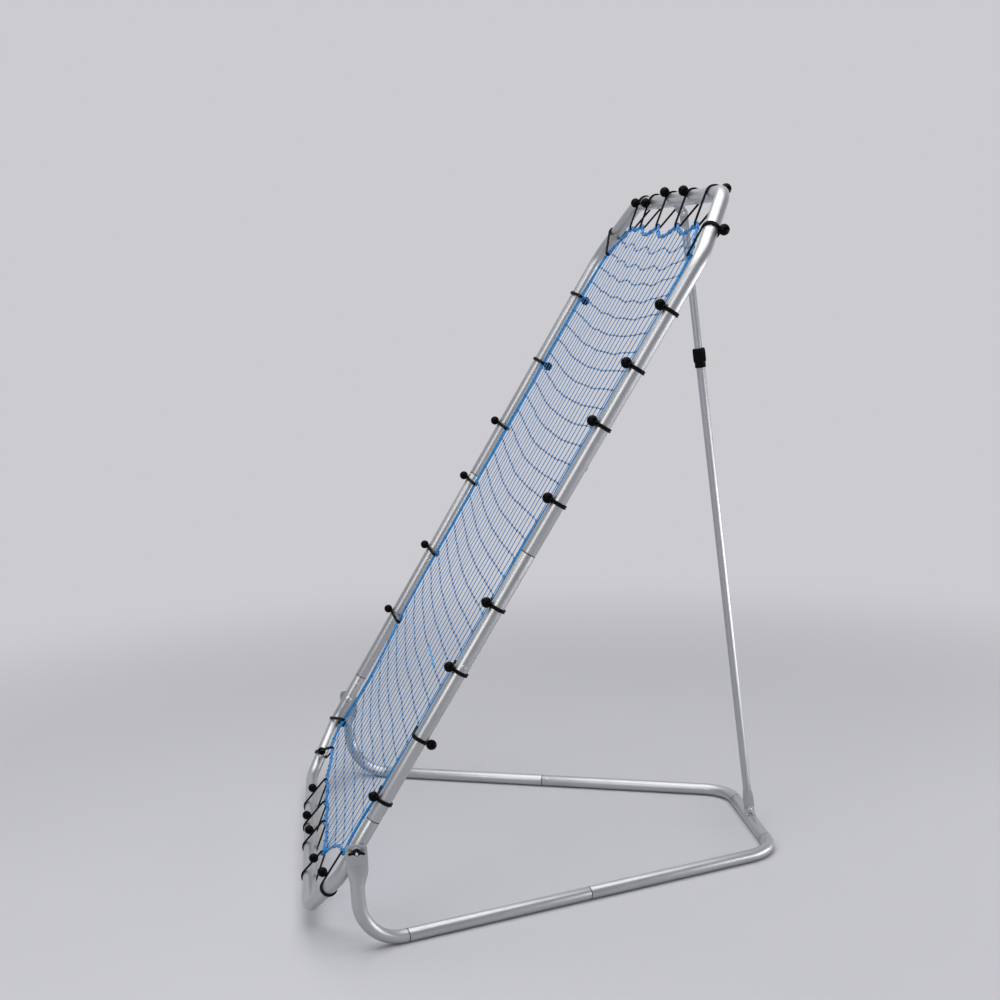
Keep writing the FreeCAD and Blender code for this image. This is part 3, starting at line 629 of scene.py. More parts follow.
@dataclass
class Layout:
    """Places that several sub-assemblies share."""

    tube_radius: float = 18.7
    tube_bore: float = 17.3
    spigot: float = 17.1
    swage_taper: float = 3.0
    frame_bend: float = 95.0
    rope_radius: float = 4.0
    tilt: float = 57.76
    length: float = 2100.0
    half_width: float = 740.0
    corner_cut: float = 169.0
    pivot_height: float = 281.65
    pivot_along: float = 259.36
    rear_bar_y: float = 1221.5

    def __post_init__(self) -> None:
        """Works out the leaning frame's directions."""
        lean = math.radians(self.tilt)
        self.up = Vector((0, math.cos(lean), math.sin(lean)))
        self.out = Vector((0, -math.sin(lean), math.cos(lean)))
        self.origin = Z * self.pivot_height - self.up * self.pivot_along

    def on_frame(self, x: float, s: float, n: float = 0.0) -> Vector:
        """Point of the leaning frame from its flat drawing."""
        return self.origin + X * x + self.up * s + self.out * n

    def lift(self, flat: Vector) -> Vector:
        """Point or offset drawn flat as (x, s, n), leaned back without the origin."""
        return X * flat.x + self.up * flat.y + self.out * flat.z

    def swaged(self, route: list[tuple[Vector, Vector]], start: bool, end: bool) -> list[Row]:
        """Rows of one tube piece.

        Args:
            route: Points and directions of the full-size tube.
            start: Whether its first end narrows to go into the next tube; otherwise it is a socket.
            end: The same for its last end.

        Returns:
            Rows of point, direction and radius.
        """
        rows = [(p, d, self.tube_radius) for p, d in route]
        for swaged, way in ((start, -1), (end, 1)):
            point, run = (rows[0] if way < 0 else rows[-1])[:2]
            if swaged:
                steps = [(reach, mix(self.spigot, self.tube_radius, share))
                         for reach, share in SPIGOT_STEPS]
            else:
                steps = [(-0.5, self.tube_radius), (-0.12, self.tube_radius - 0.15),
                         (0.0, self.tube_radius - 0.5), (0.0, self.tube_bore), (-12.0, self.tube_bore)]
            extra = [(point + run * (way * reach), run, size) for reach, size in steps]
            rows = rows[:-1] + extra if way > 0 else extra[::-1] + rows[1:]
        return rows

    def tube(self, route: list[tuple[Vector, Vector]], start: bool, end: bool,
             reference: Vector) -> Skin:
        """Skin of one tube piece, from what `swaged` takes and a direction that the tube never takes."""
        return Skin().swept(self.swaged(route, start, end), reference)


# Net frame

@dataclass
class FrameTubes:
    """The leaning frame: bottom bend, two side tubes, top bend, rivets and spring buttons."""

    layout: Layout
    lower_seam: float = 348.0
    upper_seam: float = 1130.0
    button_drop: float = 27.0
    rivet_height: float = 810.0
    rear_rivet_height: float = 1376.0

    def half_loop(self, end: float, level: float, inward: int) -> list[Vector]:
        """Corners of the bottom or top bend."""
        wide, cut = self.layout.half_width, self.layout.corner_cut
        flat = [(wide, end), (wide, level + inward * cut), (wide - cut, level),
                (cut - wide, level), (-wide, level + inward * cut), (-wide, end)]
        return [self.layout.on_frame(x, s) for x, s in flat]

    def tubes(self, finishes: Finishes) -> None:
        """Bends and side tubes."""
        lay, taper = self.layout, self.layout.swage_taper
        bottom = bent(self.half_loop(self.lower_seam, 0, 1), lay.frame_bend)
        lay.tube(bottom, False, False, lay.out).build(
            "bottom_bend", finishes.tube, Body.NET_FRAME.value, ["frame_bottom_bend"])
        top = bent(self.half_loop(self.upper_seam + taper, lay.length, -1), lay.frame_bend)
        lay.tube(top, True, True, lay.out).build(
            "top_bend", finishes.tube, Body.NET_FRAME.value, ["frame_top_bend"])
        for side in Side:
            x = side.value * lay.half_width
            ends = [lay.on_frame(x, self.upper_seam), lay.on_frame(x, self.lower_seam + taper)]
            lay.tube(bent(ends, 0), False, True, lay.out).build(
                f"side_tube_{side.word}", finishes.tube, Body.NET_FRAME.value,
                [f"frame_side_{side.word}"])

    def hardware(self, finishes: Finishes) -> None:
        """Hollow rivets and the spring buttons of the lower seams."""
        lay, seat = self.layout, self.layout.tube_radius
        ring_profile = eased([(seat - 1.0, 6.0), (seat + 1.0, 6.0), (seat + 1.9, 4.4), (seat + 1.3, 3.0),
                              (seat - 2.0, 2.4), (seat - 2.0, 0)], 0.5)
        rivets = Skin()
        for side in Side:
            x = side.value * lay.half_width
            for way in (1, -1):
                rivets.turned(ring_profile, lay.on_frame(x, self.rivet_height), X * way)
            rivets.turned(ring_profile, lay.on_frame(x, self.rear_rivet_height), -lay.out, X)
        rivets.build("hollow_rivets", finishes.zinc, Body.NET_FRAME.value, ["frame_rivets"])
        for side in Side:
            centre = lay.on_frame(side.value * lay.half_width, self.lower_seam - self.button_drop)
            node = f"frame_button_{side.word}"
            spring_button(centre, X * -side.value, lay.tube_radius).build(
                f"side_button_{side.word}", finishes.zinc, node, [node])

    def joints(self, finishes: Finishes) -> None:
        """Painted shade: dark rings that stand in for the shadow in the gaps where the tubes plug
        together.
        """
        lay, lines = self.layout, Skin()
        for side in Side:
            for seam in (self.lower_seam, self.upper_seam):
                gap_shade_ring(lines, lay.on_frame(side.value * lay.half_width, seam), lay.up, lay)
        lines.build("frame_gap_shade", finishes.joint, Body.NET_FRAME.value)

    def build(self, finishes: Finishes) -> None:
        """Builds the tubes and their hardware."""
        self.tubes(finishes)
        self.hardware(finishes)
        self.joints(finishes)


def gap_shade_ring(skin: Skin, edge: Vector, way: Vector, layout: Layout) -> None:
    """Painted shade: dark ring that stands in for the shadow in the gap between a socket's edge and the
    next tube's shoulder.
    """
    inside, outside = layout.spigot - 0.5, layout.spigot + 1.5
    near, far = 0.15, layout.swage_taper - 0.2
    profile = [(near, inside), (near, outside), (far, outside), (far, inside)]
    reference = X if abs(way.x) < 0.9 else Z
    skin.rings([ring(edge + way * a, way, reference, r) for a, r in profile], closed=True)


def spring_button(centre: Vector, way: Vector, tube: float) -> Skin:
    """Domed spring button that stands 3.3 mm out of a hole in a tube."""
    top = tube + 3.3
    profile = [(tube - 6.0, 4.85), (top - 2.4, 4.85), (top - 1.1, 4.2), (top - 0.3, 2.6), (top, 0)]
    return Skin().turned(eased(profile, 1.2, 4), centre, way, X if abs(way.x) < 0.7 else Z, 32)


# Elastic loops, balls and edge rope

@dataclass
class Tie:
    """One elastic loop, which holds the rope and goes round its tube.

    Args:
        run: Straight run of the frame's outline that it lies on.
        place: Share of the run at which it holds the rope.
        pull: Distance of the rope's corner there from the tube's middle line.
        bow: Depth of the rope between this loop and the next, as a share of their distance.
        slide: Distance that its foot is moved along the tube.
        turn: Place of its ball around the tube, in degrees from the rope's side outwards.
        reach: Distance of its ball from that line.
    """

    run: str
    place: float
    pull: float
    bow: float
    slide: float
    turn: float
    reach: float


AGAINST = 31.8  # reach of a ball that lies against its tube
TIES = [Tie(*row) for row in (
    ("right", 0.920, 90, 0.03, 0, 108, AGAINST), ("right", 0.833, 90, 0.03, 0, 108, AGAINST),
    ("right", 0.747, 90, 0.03, 0, 106, AGAINST), ("right", 0.630, 90, 0.03, 0, 108, AGAINST),
    ("right", 0.453, 90, 0.03, 0, 105, AGAINST), ("right", 0.355, 90, 0.03, 0, 106, AGAINST),
    ("right", 0.240, 92, 0.03, 0, -92, AGAINST), ("right", 0.137, 98, 0.15, 0, 104, AGAINST),
    ("lower_right", 0.758, 68, 0.11, -10, 45, 45.0), ("bottom", 0.800, 56, 0.10, 0, 16, 56.0),
    ("bottom", 0.588, 80, 0.10, 0, 31, 54.0), ("bottom", 0.447, 82, 0.08, 0, 44, 42.0),
    ("bottom", 0.271, 88, 0.05, 0, 24, 62.0), ("lower_left", 0.207, 143, 0.04, 50, 12, 50.0),
    ("lower_left", 0.690, 106, 0.16, 65, -33, 36.0), ("left", 0.251, 114, 0.02, 0, 92, AGAINST),
    ("left", 0.383, 100, 0.02, 0, 92, AGAINST), ("left", 0.537, 92, 0.02, 0, 90, AGAINST),
    ("left", 0.648, 86, 0.02, 0, 92, AGAINST), ("left", 0.783, 82, 0.02, 0, -90, AGAINST),
    ("left", 0.921, 80, 0.05, 0, -90, AGAINST), ("upper_left", 0.399, 77, 0.06, 0, -131, AGAINST),
    ("top", 0.120, 66, 0.09, 0, 63, AGAINST), ("top", 0.257, 68, 0.10, 0, 56, AGAINST),
    ("top", 0.475, 68, 0.12, 0, 98, AGAINST), ("top", 0.707, 70, 0.11, 0, 88, AGAINST),
    ("top", 0.920, 64, 0.06, 0, -143, AGAINST), ("upper_right", 0.400, 83, 0.04, 0, -131, AGAINST))]
GROUPS = {"lower_right": "bottom", "lower_left": "bottom", "upper_right": "top", "upper_left": "top"}


@dataclass
class RopeRoute:
    """Line of the edge rope in the flat drawing: pulled out by the loops and bowed in between."""

    layout: Layout
    rounding: float = 0.3
    deeper: float = 12.0
    nose: float = 9.0

    def run(self, name: str) -> tuple[Vector, Vector]:
        """Both ends of one straight run of the frame's outline, flat."""
        wide, cut, long = self.layout.half_width, self.layout.corner_cut, self.layout.length
        ends = {
            "right": ((wide, cut), (wide, long - cut)),
            "left": ((-wide, cut), (-wide, long - cut)),
            "bottom": ((cut - wide, 0), (wide - cut, 0)),
            "top": ((cut - wide, long), (wide - cut, long)),
            "lower_right": ((wide - cut, 0), (wide, cut)),
            "lower_left": ((cut - wide, 0), (-wide, cut)),
            "upper_right": ((wide, long - cut), (wide - cut, long)),
            "upper_left": ((-wide, long - cut), (cut - wide, long)),
        }[name]
        return Vector((*ends[0], 0)), Vector((*ends[1], 0))

    def inward(self, run: Vector, point: Vector) -> Vector:
        """Direction across a line towards the frame's middle."""
        across = unit(Vector((-run.y, run.x, 0)))
        return across if across.dot(Vector((0, self.layout.length / 2, 0)) - point) > 0 else -across

    def hooks(self) -> list[Vector]:
        """Where each loop would pull the rope if it came to a sharp corner."""
        found = []
        for tie in TIES:
            low, high = self.run(tie.run)
            found.append(low + (high - low) * tie.place + self.inward(high - low, low) * tie.pull)
        return found

    def mids(self, hooks: list[Vector]) -> list[Vector]:
        """Where the rope bows to between each loop and the next."""
        found = []
        for tie, here, there in zip(TIES, hooks, hooks[1:] + hooks[:1]):
            half_way, chord = (here + there) / 2, there - here
            found.append(half_way + self.inward(chord, half_way) * (chord.length * tie.bow))
        return found

    def seats(self) -> list[Vector]:
        """Where each loop holds the rope."""
        hooks = self.hooks()
        mids = self.mids(hooks)
        return [hook + ((before - hook) + (after - hook)) * (self.rounding / 2)
                for hook, before, after in zip(hooks, mids[-1:] + mids, mids)]

    def line(self, step: float) -> list[Vector]:
        """Closed line of the rope with points about a step apart."""
        seats = self.seats()
        rough: list[Vector] = []
        for here, there, mid in zip(seats, seats[1:] + seats[:1], self.mids(self.hooks())):
            chord = there - here
            depth = mid - (here + there) / 2
            depth = depth + unit(depth) * min(self.deeper, depth.length)
            count = max(8, int(chord.length / step))
            rough += [here + chord * (k / count) + depth * (4 * k / count * (1 - k / count))
                      for k in range(count)]
        for _ in range(int(self.nose / step) + 2):
            rough = [(a + b * 2 + c) / 4
                     for a, b, c in zip(rough[-1:] + rough, rough, rough[1:] + rough[:1])]
        return rough


@dataclass
class EdgeTies:
    """Edge rope and the 28 doubled elastic loops with their balls."""

    layout: Layout
    cord_radius: float = 2.45
    slack: float = 0.15
    strand_gap: float = 0.1
    ball_radius: float = 13.5
    ball_hole: float = 3.4
    strands: int = 8
    plait: float = 26.0
    groove: float = 0.955
    swell: float = 0.06

    def rope(self, finishes: Finishes) -> list[Vector]:
        """Braided rope round the net; returns its line in the flat drawing."""
        lay = self.layout
        flat = RopeRoute(lay).line(2.4)

        def braid(along: float, turn: float) -> float:
            a = math.cos(self.strands / 2 * turn + 2 * math.pi * along / self.plait)
            b = math.cos(self.strands / 2 * turn - 2 * math.pi * along / self.plait)
            return self.groove + self.swell * max(a, b)
        Skin().cord([lay.on_frame(*p) for p in flat], lay.out, lay.rope_radius, 16, True, braid).build(
            "braided_edge_rope", finishes.rope, Body.NET_FRAME.value, ["edge_rope"], CORD_EDGE)
        return flat

    def belt(self, reach: float, skew: float, rope_skew: float) -> list[Vector]:
        """Closed line of one strand in its loop's plane: (towards the rope, out of the frame)."""
        lay, cord = self.layout, self.cord_radius + self.slack
        spots = []
        for centre, size, lean in ((0.0, lay.tube_radius, skew), (reach, lay.rope_radius, rope_skew)):
            wide, high = size / math.cos(lean) + cord, size + cord
            spots += [(centre + wide * math.cos(t), high * math.sin(t)) for t in turns(SIDES)]
        spots.sort()
        hull: list[tuple[float, float]] = []
        for pass_spots in (spots, spots[::-1]):
            part: list[tuple[float, float]] = []
            for spot in pass_spots:
                while len(part) > 1 and ((part[-1][0] - part[-2][0]) * (spot[1] - part[-2][1])
                                         <= (part[-1][1] - part[-2][1]) * (spot[0] - part[-2][0])):
                    part.pop()
                part.append(spot)
            hull += part[:-1]
        line = []
        for a, b in zip(hull, hull[1:] + hull[:1]):
            gap = math.hypot(b[0] - a[0], b[1] - a[1])
            count = max(1, round(gap / 4))
            line += [Vector((mix(a[0], b[0], k / count), mix(a[1], b[1], k / count), 0))
                     for k in range(count)]
        return line

    def foot(self, tie: Tie, seat: Vector) -> tuple[Vector, Vector]:
        """Where a loop goes round its tube.

        Args:
            tie: The loop.
            seat: Where it holds the rope.

        Returns:
            Flat point on the tube's middle line and the tube's direction there, also where it bends.
        """
        route, bend = RopeRoute(self.layout), self.layout.frame_bend
        low, high = route.run(tie.run)
        run = unit(high - low)
        along = (seat - low).dot(run) + tie.slide
        straight = (high - low).length - bend * math.tan(math.pi / 8)
        if along <= straight:
            return low + run * along, run
        turn, across = (along - straight) / bend, route.inward(run, low)
        point = low + run * (straight + bend * math.sin(turn))
        return (point + across * (bend * (1 - math.cos(turn))),
                run * math.cos(turn) + across * math.sin(turn))

    def loop(self, tie: Tie, seat: Vector, along_rope: Vector, skins: tuple[Skin, Skin]) -> None:
        """One loop and its ball, added to the skins of its group."""
        foot, run = self.foot(tie, seat)
        across, reach = unit(seat - foot), (seat - foot).length
        width = across.cross(Z)
        lay = self.layout

        def place(spot: Vector, shift: float = 0.0) -> Vector:
            flat = foot + across * spot.x + Z * spot.y + width * shift
            return lay.on_frame(flat.x, flat.y, flat.z)
        skews = [math.acos(min(1.0, abs(width.dot(way)))) for way in (run, unit(along_rope))]
        belt = self.belt(reach, *skews)
        cords, balls = skins
        for way in (1, -1):
            shift = way * (self.cord_radius + self.strand_gap / 2)
            cords.cord([place(spot, shift) for spot in belt], lay.lift(width), self.cord_radius,
                       10, True)
        turn = math.radians(tie.turn)
        radial = Vector((math.cos(turn), math.sin(turn), 0))
        centre = place(radial * tie.reach)
        axis = unit(place(radial * (tie.reach + 1)) - centre)
        self.ball(balls, cords, centre, axis, lay.lift(width))

    def ball(self, balls: Skin, cords: Skin, centre: Vector, axis: Vector, reference: Vector) -> None:
        """Ball with a hole on its outer side, and the cord's knot in the hole."""
        size, hole = self.ball_radius, self.ball_hole
        tilt = math.asin(hole / size)
        profile = [(-size * math.cos(t), size * math.sin(t))
                   for t in (mix(0.02, math.pi - tilt - 0.06, k / 26) for k in range(27))]
        edge = size * math.cos(tilt)
        profile += [(edge + 0.05, hole + 0.35), (edge - 0.2, hole), (edge - 7.0, hole - 0.2),
                    (edge - 7.0, 0)]
        balls.turned(profile, centre, axis, reference, 36)
        knot = [(edge - 3.2 - 2.6 * math.cos(t), 3.0 * math.sin(t)) for t in turns(16)[:9]]
        cords.turned(knot, centre, axis, reference, 14)

    def build(self, finishes: Finishes) -> list[Vector]:
        """Builds rope, loops and balls; returns the rope's flat line."""
        line = self.rope(finishes)
        seats = RopeRoute(self.layout).seats()
        groups: dict[str, tuple[Skin, Skin]] = {}
        for k, tie in enumerate(TIES):
            name = GROUPS.get(tie.run, tie.run)
            nearest = min(range(len(line)), key=lambda n: (line[n] - seats[k]).length)
            along = line[(nearest + 3) % len(line)] - line[nearest - 3]
            self.loop(tie, line[nearest], along, groups.setdefault(name, (Skin(), Skin())))
        for name, (cords, balls) in groups.items():
            cords.build(f"elastic_cords_{name}", finishes.elastic, Body.NET_FRAME.value,
                        [f"elastic_loops_{name}"], CORD_EDGE)
            balls.build(f"balls_{name}", finishes.ball, Body.NET_FRAME.value, [f"loop_balls_{name}"], 50)
        return line


# Net

@dataclass
class KnottedNet:
    """Square-mesh net, knotted at every crossing and drawn down in the middle by its own pull."""

    layout: Layout
    twine_radius: float = 1.1
    knot_size: float = 1.55
    knot_rise: float = 0.8
    pitch: float = 53.0
    first: float = 24.0
    spare: float = 52.0
    wave: float = 9.0
    fade: float = 2.6
    top_band: float = 120.0
    slack: Triple = (1.3, 1.2, 0.8)
    across: range = range(-15, 15)
    down: range = range(-2, 38)
    seed: int = 7

    # Where the net gathers at its lower right corner, and the share of the width that is left there
    gather_heights: tuple[float, float] = (215.0, 95.0)
    gather_places: tuple[float, float] = (330.0, 390.0)
    gather_middle: float = 332.0
    gather_share: float = 0.25

    # Mending twine along one cross row
    mend_row: int = 24
    mend_places: range = range(170, 371, 10)
    mend_knots: tuple[int, ...] = (0, -1, 8)
    mend_radius: float = 2.3

    # Places across the net at which the rows below give heights
    columns: tuple[int, ...] = (600, 400, 200, 0, -200, -400, -600)

    # Height of some cross twines up the frame at each column: number from the top, then heights
    rows: tuple[tuple[int, tuple[int, ...]], ...] = (
        (0, (1958, 1950, 1945, 1947, 1955, 1968, 1985)), (1, (1925, 1899, 1895, 1896, 1903, 1920, 1940)),
        (2, (1877, 1855, 1846, 1849, 1855, 1870, 1887)), (4, (1774, 1754, 1746, 1748, 1755, 1771, 1786)),
        (7, (1620, 1605, 1598, 1598, 1605, 1621, 1634)), (11, (1413, 1400, 1396, 1396, 1404, 1421, 1434)),
        (15, (1200, 1195, 1188, 1187, 1197, 1212, 1229)), (17, (1091, 1085, 1081, 1082, 1092, 1107, 1121)),
        (21, (876, 872, 869, 873, 882, 898, 915)), (24, (713, 708, 710, 706, 720, 736, 763)),
        (27, (540, 538, 544, 540, 551, 569, 592)), (29, (427, 425, 432, 431, 439, 459, 480)),
        (32, (241, 258, 270, 266, 275, 295, 310)), (33, (190, 205, 212, 211, 220, 238, 250)),
        (34, (140, 155, 160, 160, 160, 175, 190)))

    def height(self, number: float, x: float) -> float:
        """Height of a cross twine at a place across the net."""
        columns = self.columns
        place = held((columns[0] - x) / (columns[0] - columns[1]), -0.5, len(columns) - 0.5)
        low = min(max(int(place), 0), len(columns) - 2)

        def at(row: tuple[int, ...]) -> float:
            share = place - low
            if not 0 <= share <= 1:
                return mix(row[low], row[low + 1], share)
            before, after = row[max(low - 1, 0)], row[min(low + 2, len(row) - 1)]
            return spline(before, row[low], row[low + 1], after, share)
        known = self.rows
        if number <= known[0][0]:
            return at(known[0][1]) + self.spare * (known[0][0] - number)
        if number >= known[-1][0]:
            return at(known[-1][1]) - self.spare * (number - known[-1][0])
        for (n0, r0), (n1, r1) in zip(known, known[1:]):
            if n0 <= number <= n1:
                return mix(at(r0), at(r1), (number - n0) / (n1 - n0))
        raise ValueError(number)

    def ripple(self, x: float, seats: list[Vector]) -> float:
        """Rise under the top loops and dip between them."""
        tops = sorted(seat.x for seat in seats if seat.y > self.layout.length - self.top_band)
        for low, high in zip(tops, tops[1:]):
            if low <= x <= high:
                return math.cos(2 * math.pi * (x - low) / (high - low))
        return 0.0

    def crossing(self, column: int, number: int, seats: list[Vector], pick: random.Random) -> Vector:
        """Knot of the net in the flat drawing."""
        x = self.first + self.pitch * column
        wave = self.ripple(x, seats) * self.wave * math.exp(-max(number, 0) / self.fade)
        s = self.height(number, x) + wave
        (high, low), (near, far) = self.gather_heights, self.gather_places
        pull = held((high - s) / (high - low)) * held((x - near) / (far - near))
        x = mix(x, mix(self.gather_middle, x, self.gather_share), pull ** 1.3)
        slack = [pick.uniform(-most, most) for most in self.slack]
        return Vector((x + slack[0], s + slack[1], slack[2]))

    def clipped(self, line: list[Vector], rope: list[Vector]) -> list[list[Vector]]:
        """Runs of a line that lie inside the rope, each end carried on to the rope."""
        runs, run, before = [], [], None
        for point in line:
            now = self.within(point, rope)
            if before is not None and now != before[1]:
                low, high = (before[0], point) if now else (point, before[0])
                for _ in range(12):
                    middle = (low + high) / 2
                    low, high = (low, middle) if self.within(middle, rope) else (middle, high)
                edge = Vector((high.x, high.y, high.z * 0.3))
                if now:
                    run = [edge]
                else:
                    run.append(edge)
                    runs.append(run)
                    run = []
            if now:
                run.append(point)
            before = (point, now)
        return [r for r in runs if len(r) > 2]

    def knot(self, skin: Skin, centre: Vector, turn: float) -> None:
        """Small hitch where two twines cross, thicker across one diagonal."""
        lay, size = self.layout, self.knot_size
        way = lay.lift(Vector((math.cos(turn), math.sin(turn), 0)))
        side = way.cross(lay.out)
        shape = ((-2.5, 0.5), (-2.0, 1.5), (-0.9, 1.95), (0, 1.65), (0.9, 1.95), (2.0, 1.5), (2.5, 0.5))
        rows = []
        for along, wide in shape:
            middle = centre + way * (along * size)
            half, rise = wide * size, wide * size * self.knot_rise
            rows.append([middle + side * (half * math.cos(t)) + lay.out * (rise * math.sin(t))
                         for t in turns(8)])
        skin.rings(rows, gauge=9.0)

    def hitch(self, skin: Skin, end: Vector, rope: list[Vector]) -> None:
        """Turn of twine round the rope at the end of a mesh."""
        lay = self.layout
        nearest = min(range(len(rope)), key=lambda n: (rope[n] - end).length)
        along = unit(lay.lift(rope[(nearest + 2) % len(rope)] - rope[nearest - 2]))
        centre = lay.on_frame(rope[nearest].x, rope[nearest].y)
        circle = ring(centre, along, lay.out, lay.rope_radius + self.twine_radius * 0.75, 16)
        skin.cord(circle, along, self.twine_radius, 6, True)

    def build(self, finishes: Finishes, rope: list[Vector]) -> None:
        """Builds the long twines, cross twines, knots and edge hitches."""
        lay, pick = self.layout, random.Random(self.seed)
        seats = RopeRoute(lay).seats()
        outline = rope[::4]
        grid = {(c, n): self.crossing(c, n, seats, pick) for c in self.across for n in self.down}
        twines, hitches = Skin(), Skin()
        lines = [[grid[c, n] for n in self.down] for c in self.across]
        lines += [[grid[c, n] for c in self.across] for n in self.down]
        for points in lines:
            for run in self.clipped(smooth_line(points, 5), outline):
                twines.cord([lay.on_frame(*p) for p in run], lay.out, self.twine_radius, 6)
                for end in (run[0], run[-1]):
                    self.hitch(hitches, end, rope)
        knots = Skin()
        for point in grid.values():
            if self.within(point, outline):
                self.knot(knots, lay.on_frame(*point), math.pi / 4 + pick.uniform(-0.3, 0.3))
        twines.build("net_twines", finishes.twine, Body.NET_FRAME.value, ["net"], CORD_EDGE)
        # The knots take the darker twine colour, which paints their shade
        knots.build("net_knots", finishes.knot, Body.NET_FRAME.value, (), CORD_EDGE)
        hitches.build("net_edge_hitches", finishes.twine, Body.NET_FRAME.value, (), CORD_EDGE)
        self.repair(finishes)

    @staticmethod
    def within(p: Vector, rope: list[Vector]) -> bool:
        """Whether a point lies inside the rope."""
        hit = False
        for a, b in zip(rope, rope[1:] + rope[:1]):
            if (a.y > p.y) != (b.y > p.y) and p.x < (b.x - a.x) * (p.y - a.y) / (b.y - a.y) + a.x:
                hit = not hit
        return hit

    def repair(self, finishes: Finishes) -> None:
        """Thicker mending twine along one cross row, with its three knots."""
        lay = self.layout
        line = [Vector((x, self.height(self.mend_row, x) + 1.5, 2.0)) for x in self.mend_places]
        skin = Skin().cord([lay.on_frame(*p) for p in line], lay.out, self.mend_radius, 8)
        for k in self.mend_knots:
            self.knot(skin, lay.on_frame(*line[k]), math.pi / 4)
        skin.build("mending_twine", finishes.repair, Body.NET_FRAME.value, (), CORD_EDGE)


# Base

@dataclass
class FloorBase:
    """Floor frame: flattened necks, rails, rear bar and their spring buttons."""

    layout: Layout
    neck_x: float = 757.0
    neck_y: float = -3.0
    neck_sides: int = 64
    bend: float = 125.0
    rear_corner_x: float = 282.0
    neck_reach: float = 132.0
    rail_seam: float = 685.0
    button_back: float = 18.0
    button_lift: float = 30.0
    bar_half: float = 182.0
    plate_width: float = 56.0
    plate_thickness: float = 4.5
    plate_inside: float = 760.153
    over_pivot: float = 20.0
    under_pivot: float = 46.0
    taper: float = 62.0
    crease: float = 34.0
    corner: float = 13.0
    fullness: tuple[float, float] = (2.2, 1.18)

    def __post_init__(self) -> None:
        """Works out the right rail's line."""
        self.level = self.layout.tube_radius
        self.front = Vector((self.neck_x, self.neck_y, self.level))
        self.rear = Vector((self.rear_corner_x, self.layout.rear_bar_y, self.level))
        self.run = unit(self.rear - self.front)

    def along(self, distance: float) -> Vector:
        """Point on the right rail from its front corner."""
        return self.front + self.run * distance

    def section(self, level: float, inside: float, outside: float, width: float) -> list[Vector]:
        """Section of a neck between round and pressed flat.

        Args:
            level: Height above the floor.
            inside: 0 where the half beside the net frame is round and 1 where it is flat.
            outside: The same for the other half.
            width: Width of the flat.

        Returns:
            Points around it.
        """
        thick = self.plate_thickness
        plate_x = self.plate_inside + thick / 2
        points = []
        for t in turns(self.neck_sides):
            share = mix(inside, outside, held(2 * math.cos(t)))
            x, y = pressed_spot(t, self.layout.tube_radius, width, thick, share, self.fullness)
            points.append(Vector((mix(self.neck_x, plate_x, share) + x,
                                  mix(self.neck_y, 0, share) + y, level)))
        return points

    def neck(self, side: Side, finishes: Finishes) -> None:
        """Upright with its pressed plate and the front bend of the rail."""
        lay = self.layout
        low = lay.pivot_height - self.under_pivot
        top = lay.pivot_height + self.over_pivot
        route = [Vector((self.neck_x, self.neck_y, low - self.taper)), self.front,
                 self.along(self.neck_reach - lay.swage_taper)]
        turn = Z.cross(self.run)
        tube = [ring(p, d, turn, r, self.neck_sides)
                for p, d, r in lay.swaged(bent(route, self.bend), True, True)]
        flat, steps = [], 22
        for k in range(steps + 1):
            rise = (self.taper + self.under_pivot - self.crease) * k / steps
            t = min(1.0, rise / self.taper)
            inside = t ** 1.6 * (3 - 2 * t ** 0.8)
            flat.append(self.section(low - self.taper + rise, inside, (k / steps) ** 1.5,
                                     mix(2 * lay.tube_radius, self.plate_width, inside)))
        for k in range(9):
            angle = math.radians(88 * k / 8)
            flat.append(self.section(top - self.corner * (1 - math.sin(angle)), 1.0, 1.0,
                                     self.plate_width - 2 * self.corner * (1 - math.cos(angle))))

        # The upright runs on into the pressed part, so it has no spigot there
        skin = Skin()
        for rows in (tube[len(SPIGOT_STEPS) - 1:], flat):
            skin.rings([[side.place(p) for p in row] for row in rows], gauge=GAUGE)
        skin.build(f"neck_{side.word}", finishes.tube, Body.BASE.value, [f"base_neck_{side.word}"], 14)

    def rails(self, side: Side, finishes: Finishes) -> None:
        """Front and rear rail of one side."""
        lay, taper = self.layout, self.layout.swage_taper
        front = bent([self.along(self.neck_reach), self.along(self.rail_seam - taper)], 0)
        bar_end = Vector((self.bar_half + taper, lay.rear_bar_y, self.level))
        rear = bent([self.along(self.rail_seam), self.rear, bar_end], self.bend)
        for name, route in (("front", front), ("rear", rear)):
            placed = [(side.place(p), side.place(d)) for p, d in route]
            lay.tube(placed, False, True, Z).build(
                f"rail_{name}_{side.word}", finishes.tube, Body.BASE.value,
                [f"base_rail_{name}_{side.word}"])
        centre, lift = self.along(self.rail_seam + self.button_back), math.radians(self.button_lift)
        way = Z.cross(self.run) * math.cos(lift) + Z * math.sin(lift)
        node = f"rail_button_{side.word}"
        spring_button(side.place(centre), side.place(way), lay.tube_radius).build(
            f"rail_spring_button_{side.word}", finishes.zinc, node, [node])

    def build(self, finishes: Finishes) -> None:
        """Builds both sides and the rear bar."""
        lay, lines = self.layout, Skin()
        bar_end = Vector((self.bar_half, lay.rear_bar_y, self.level))
        for side in Side:
            self.neck(side, finishes)
            self.rails(side, finishes)
            # Dark rings at the joint gaps are painted shade
            for reach in (self.neck_reach, self.rail_seam):
                gap_shade_ring(lines, side.place(self.along(reach)), side.place(-self.run), lay)
            gap_shade_ring(lines, side.place(bar_end), X * side.value, lay)
        lines.build("base_gap_shade", finishes.joint, Body.BASE.value)
        lay.tube(bent([side.place(bar_end) for side in Side], 0), False, False, Z).build(
            "rear_bar", finishes.tube, Body.BASE.value, ["base_rear_bar"])


# Pivots

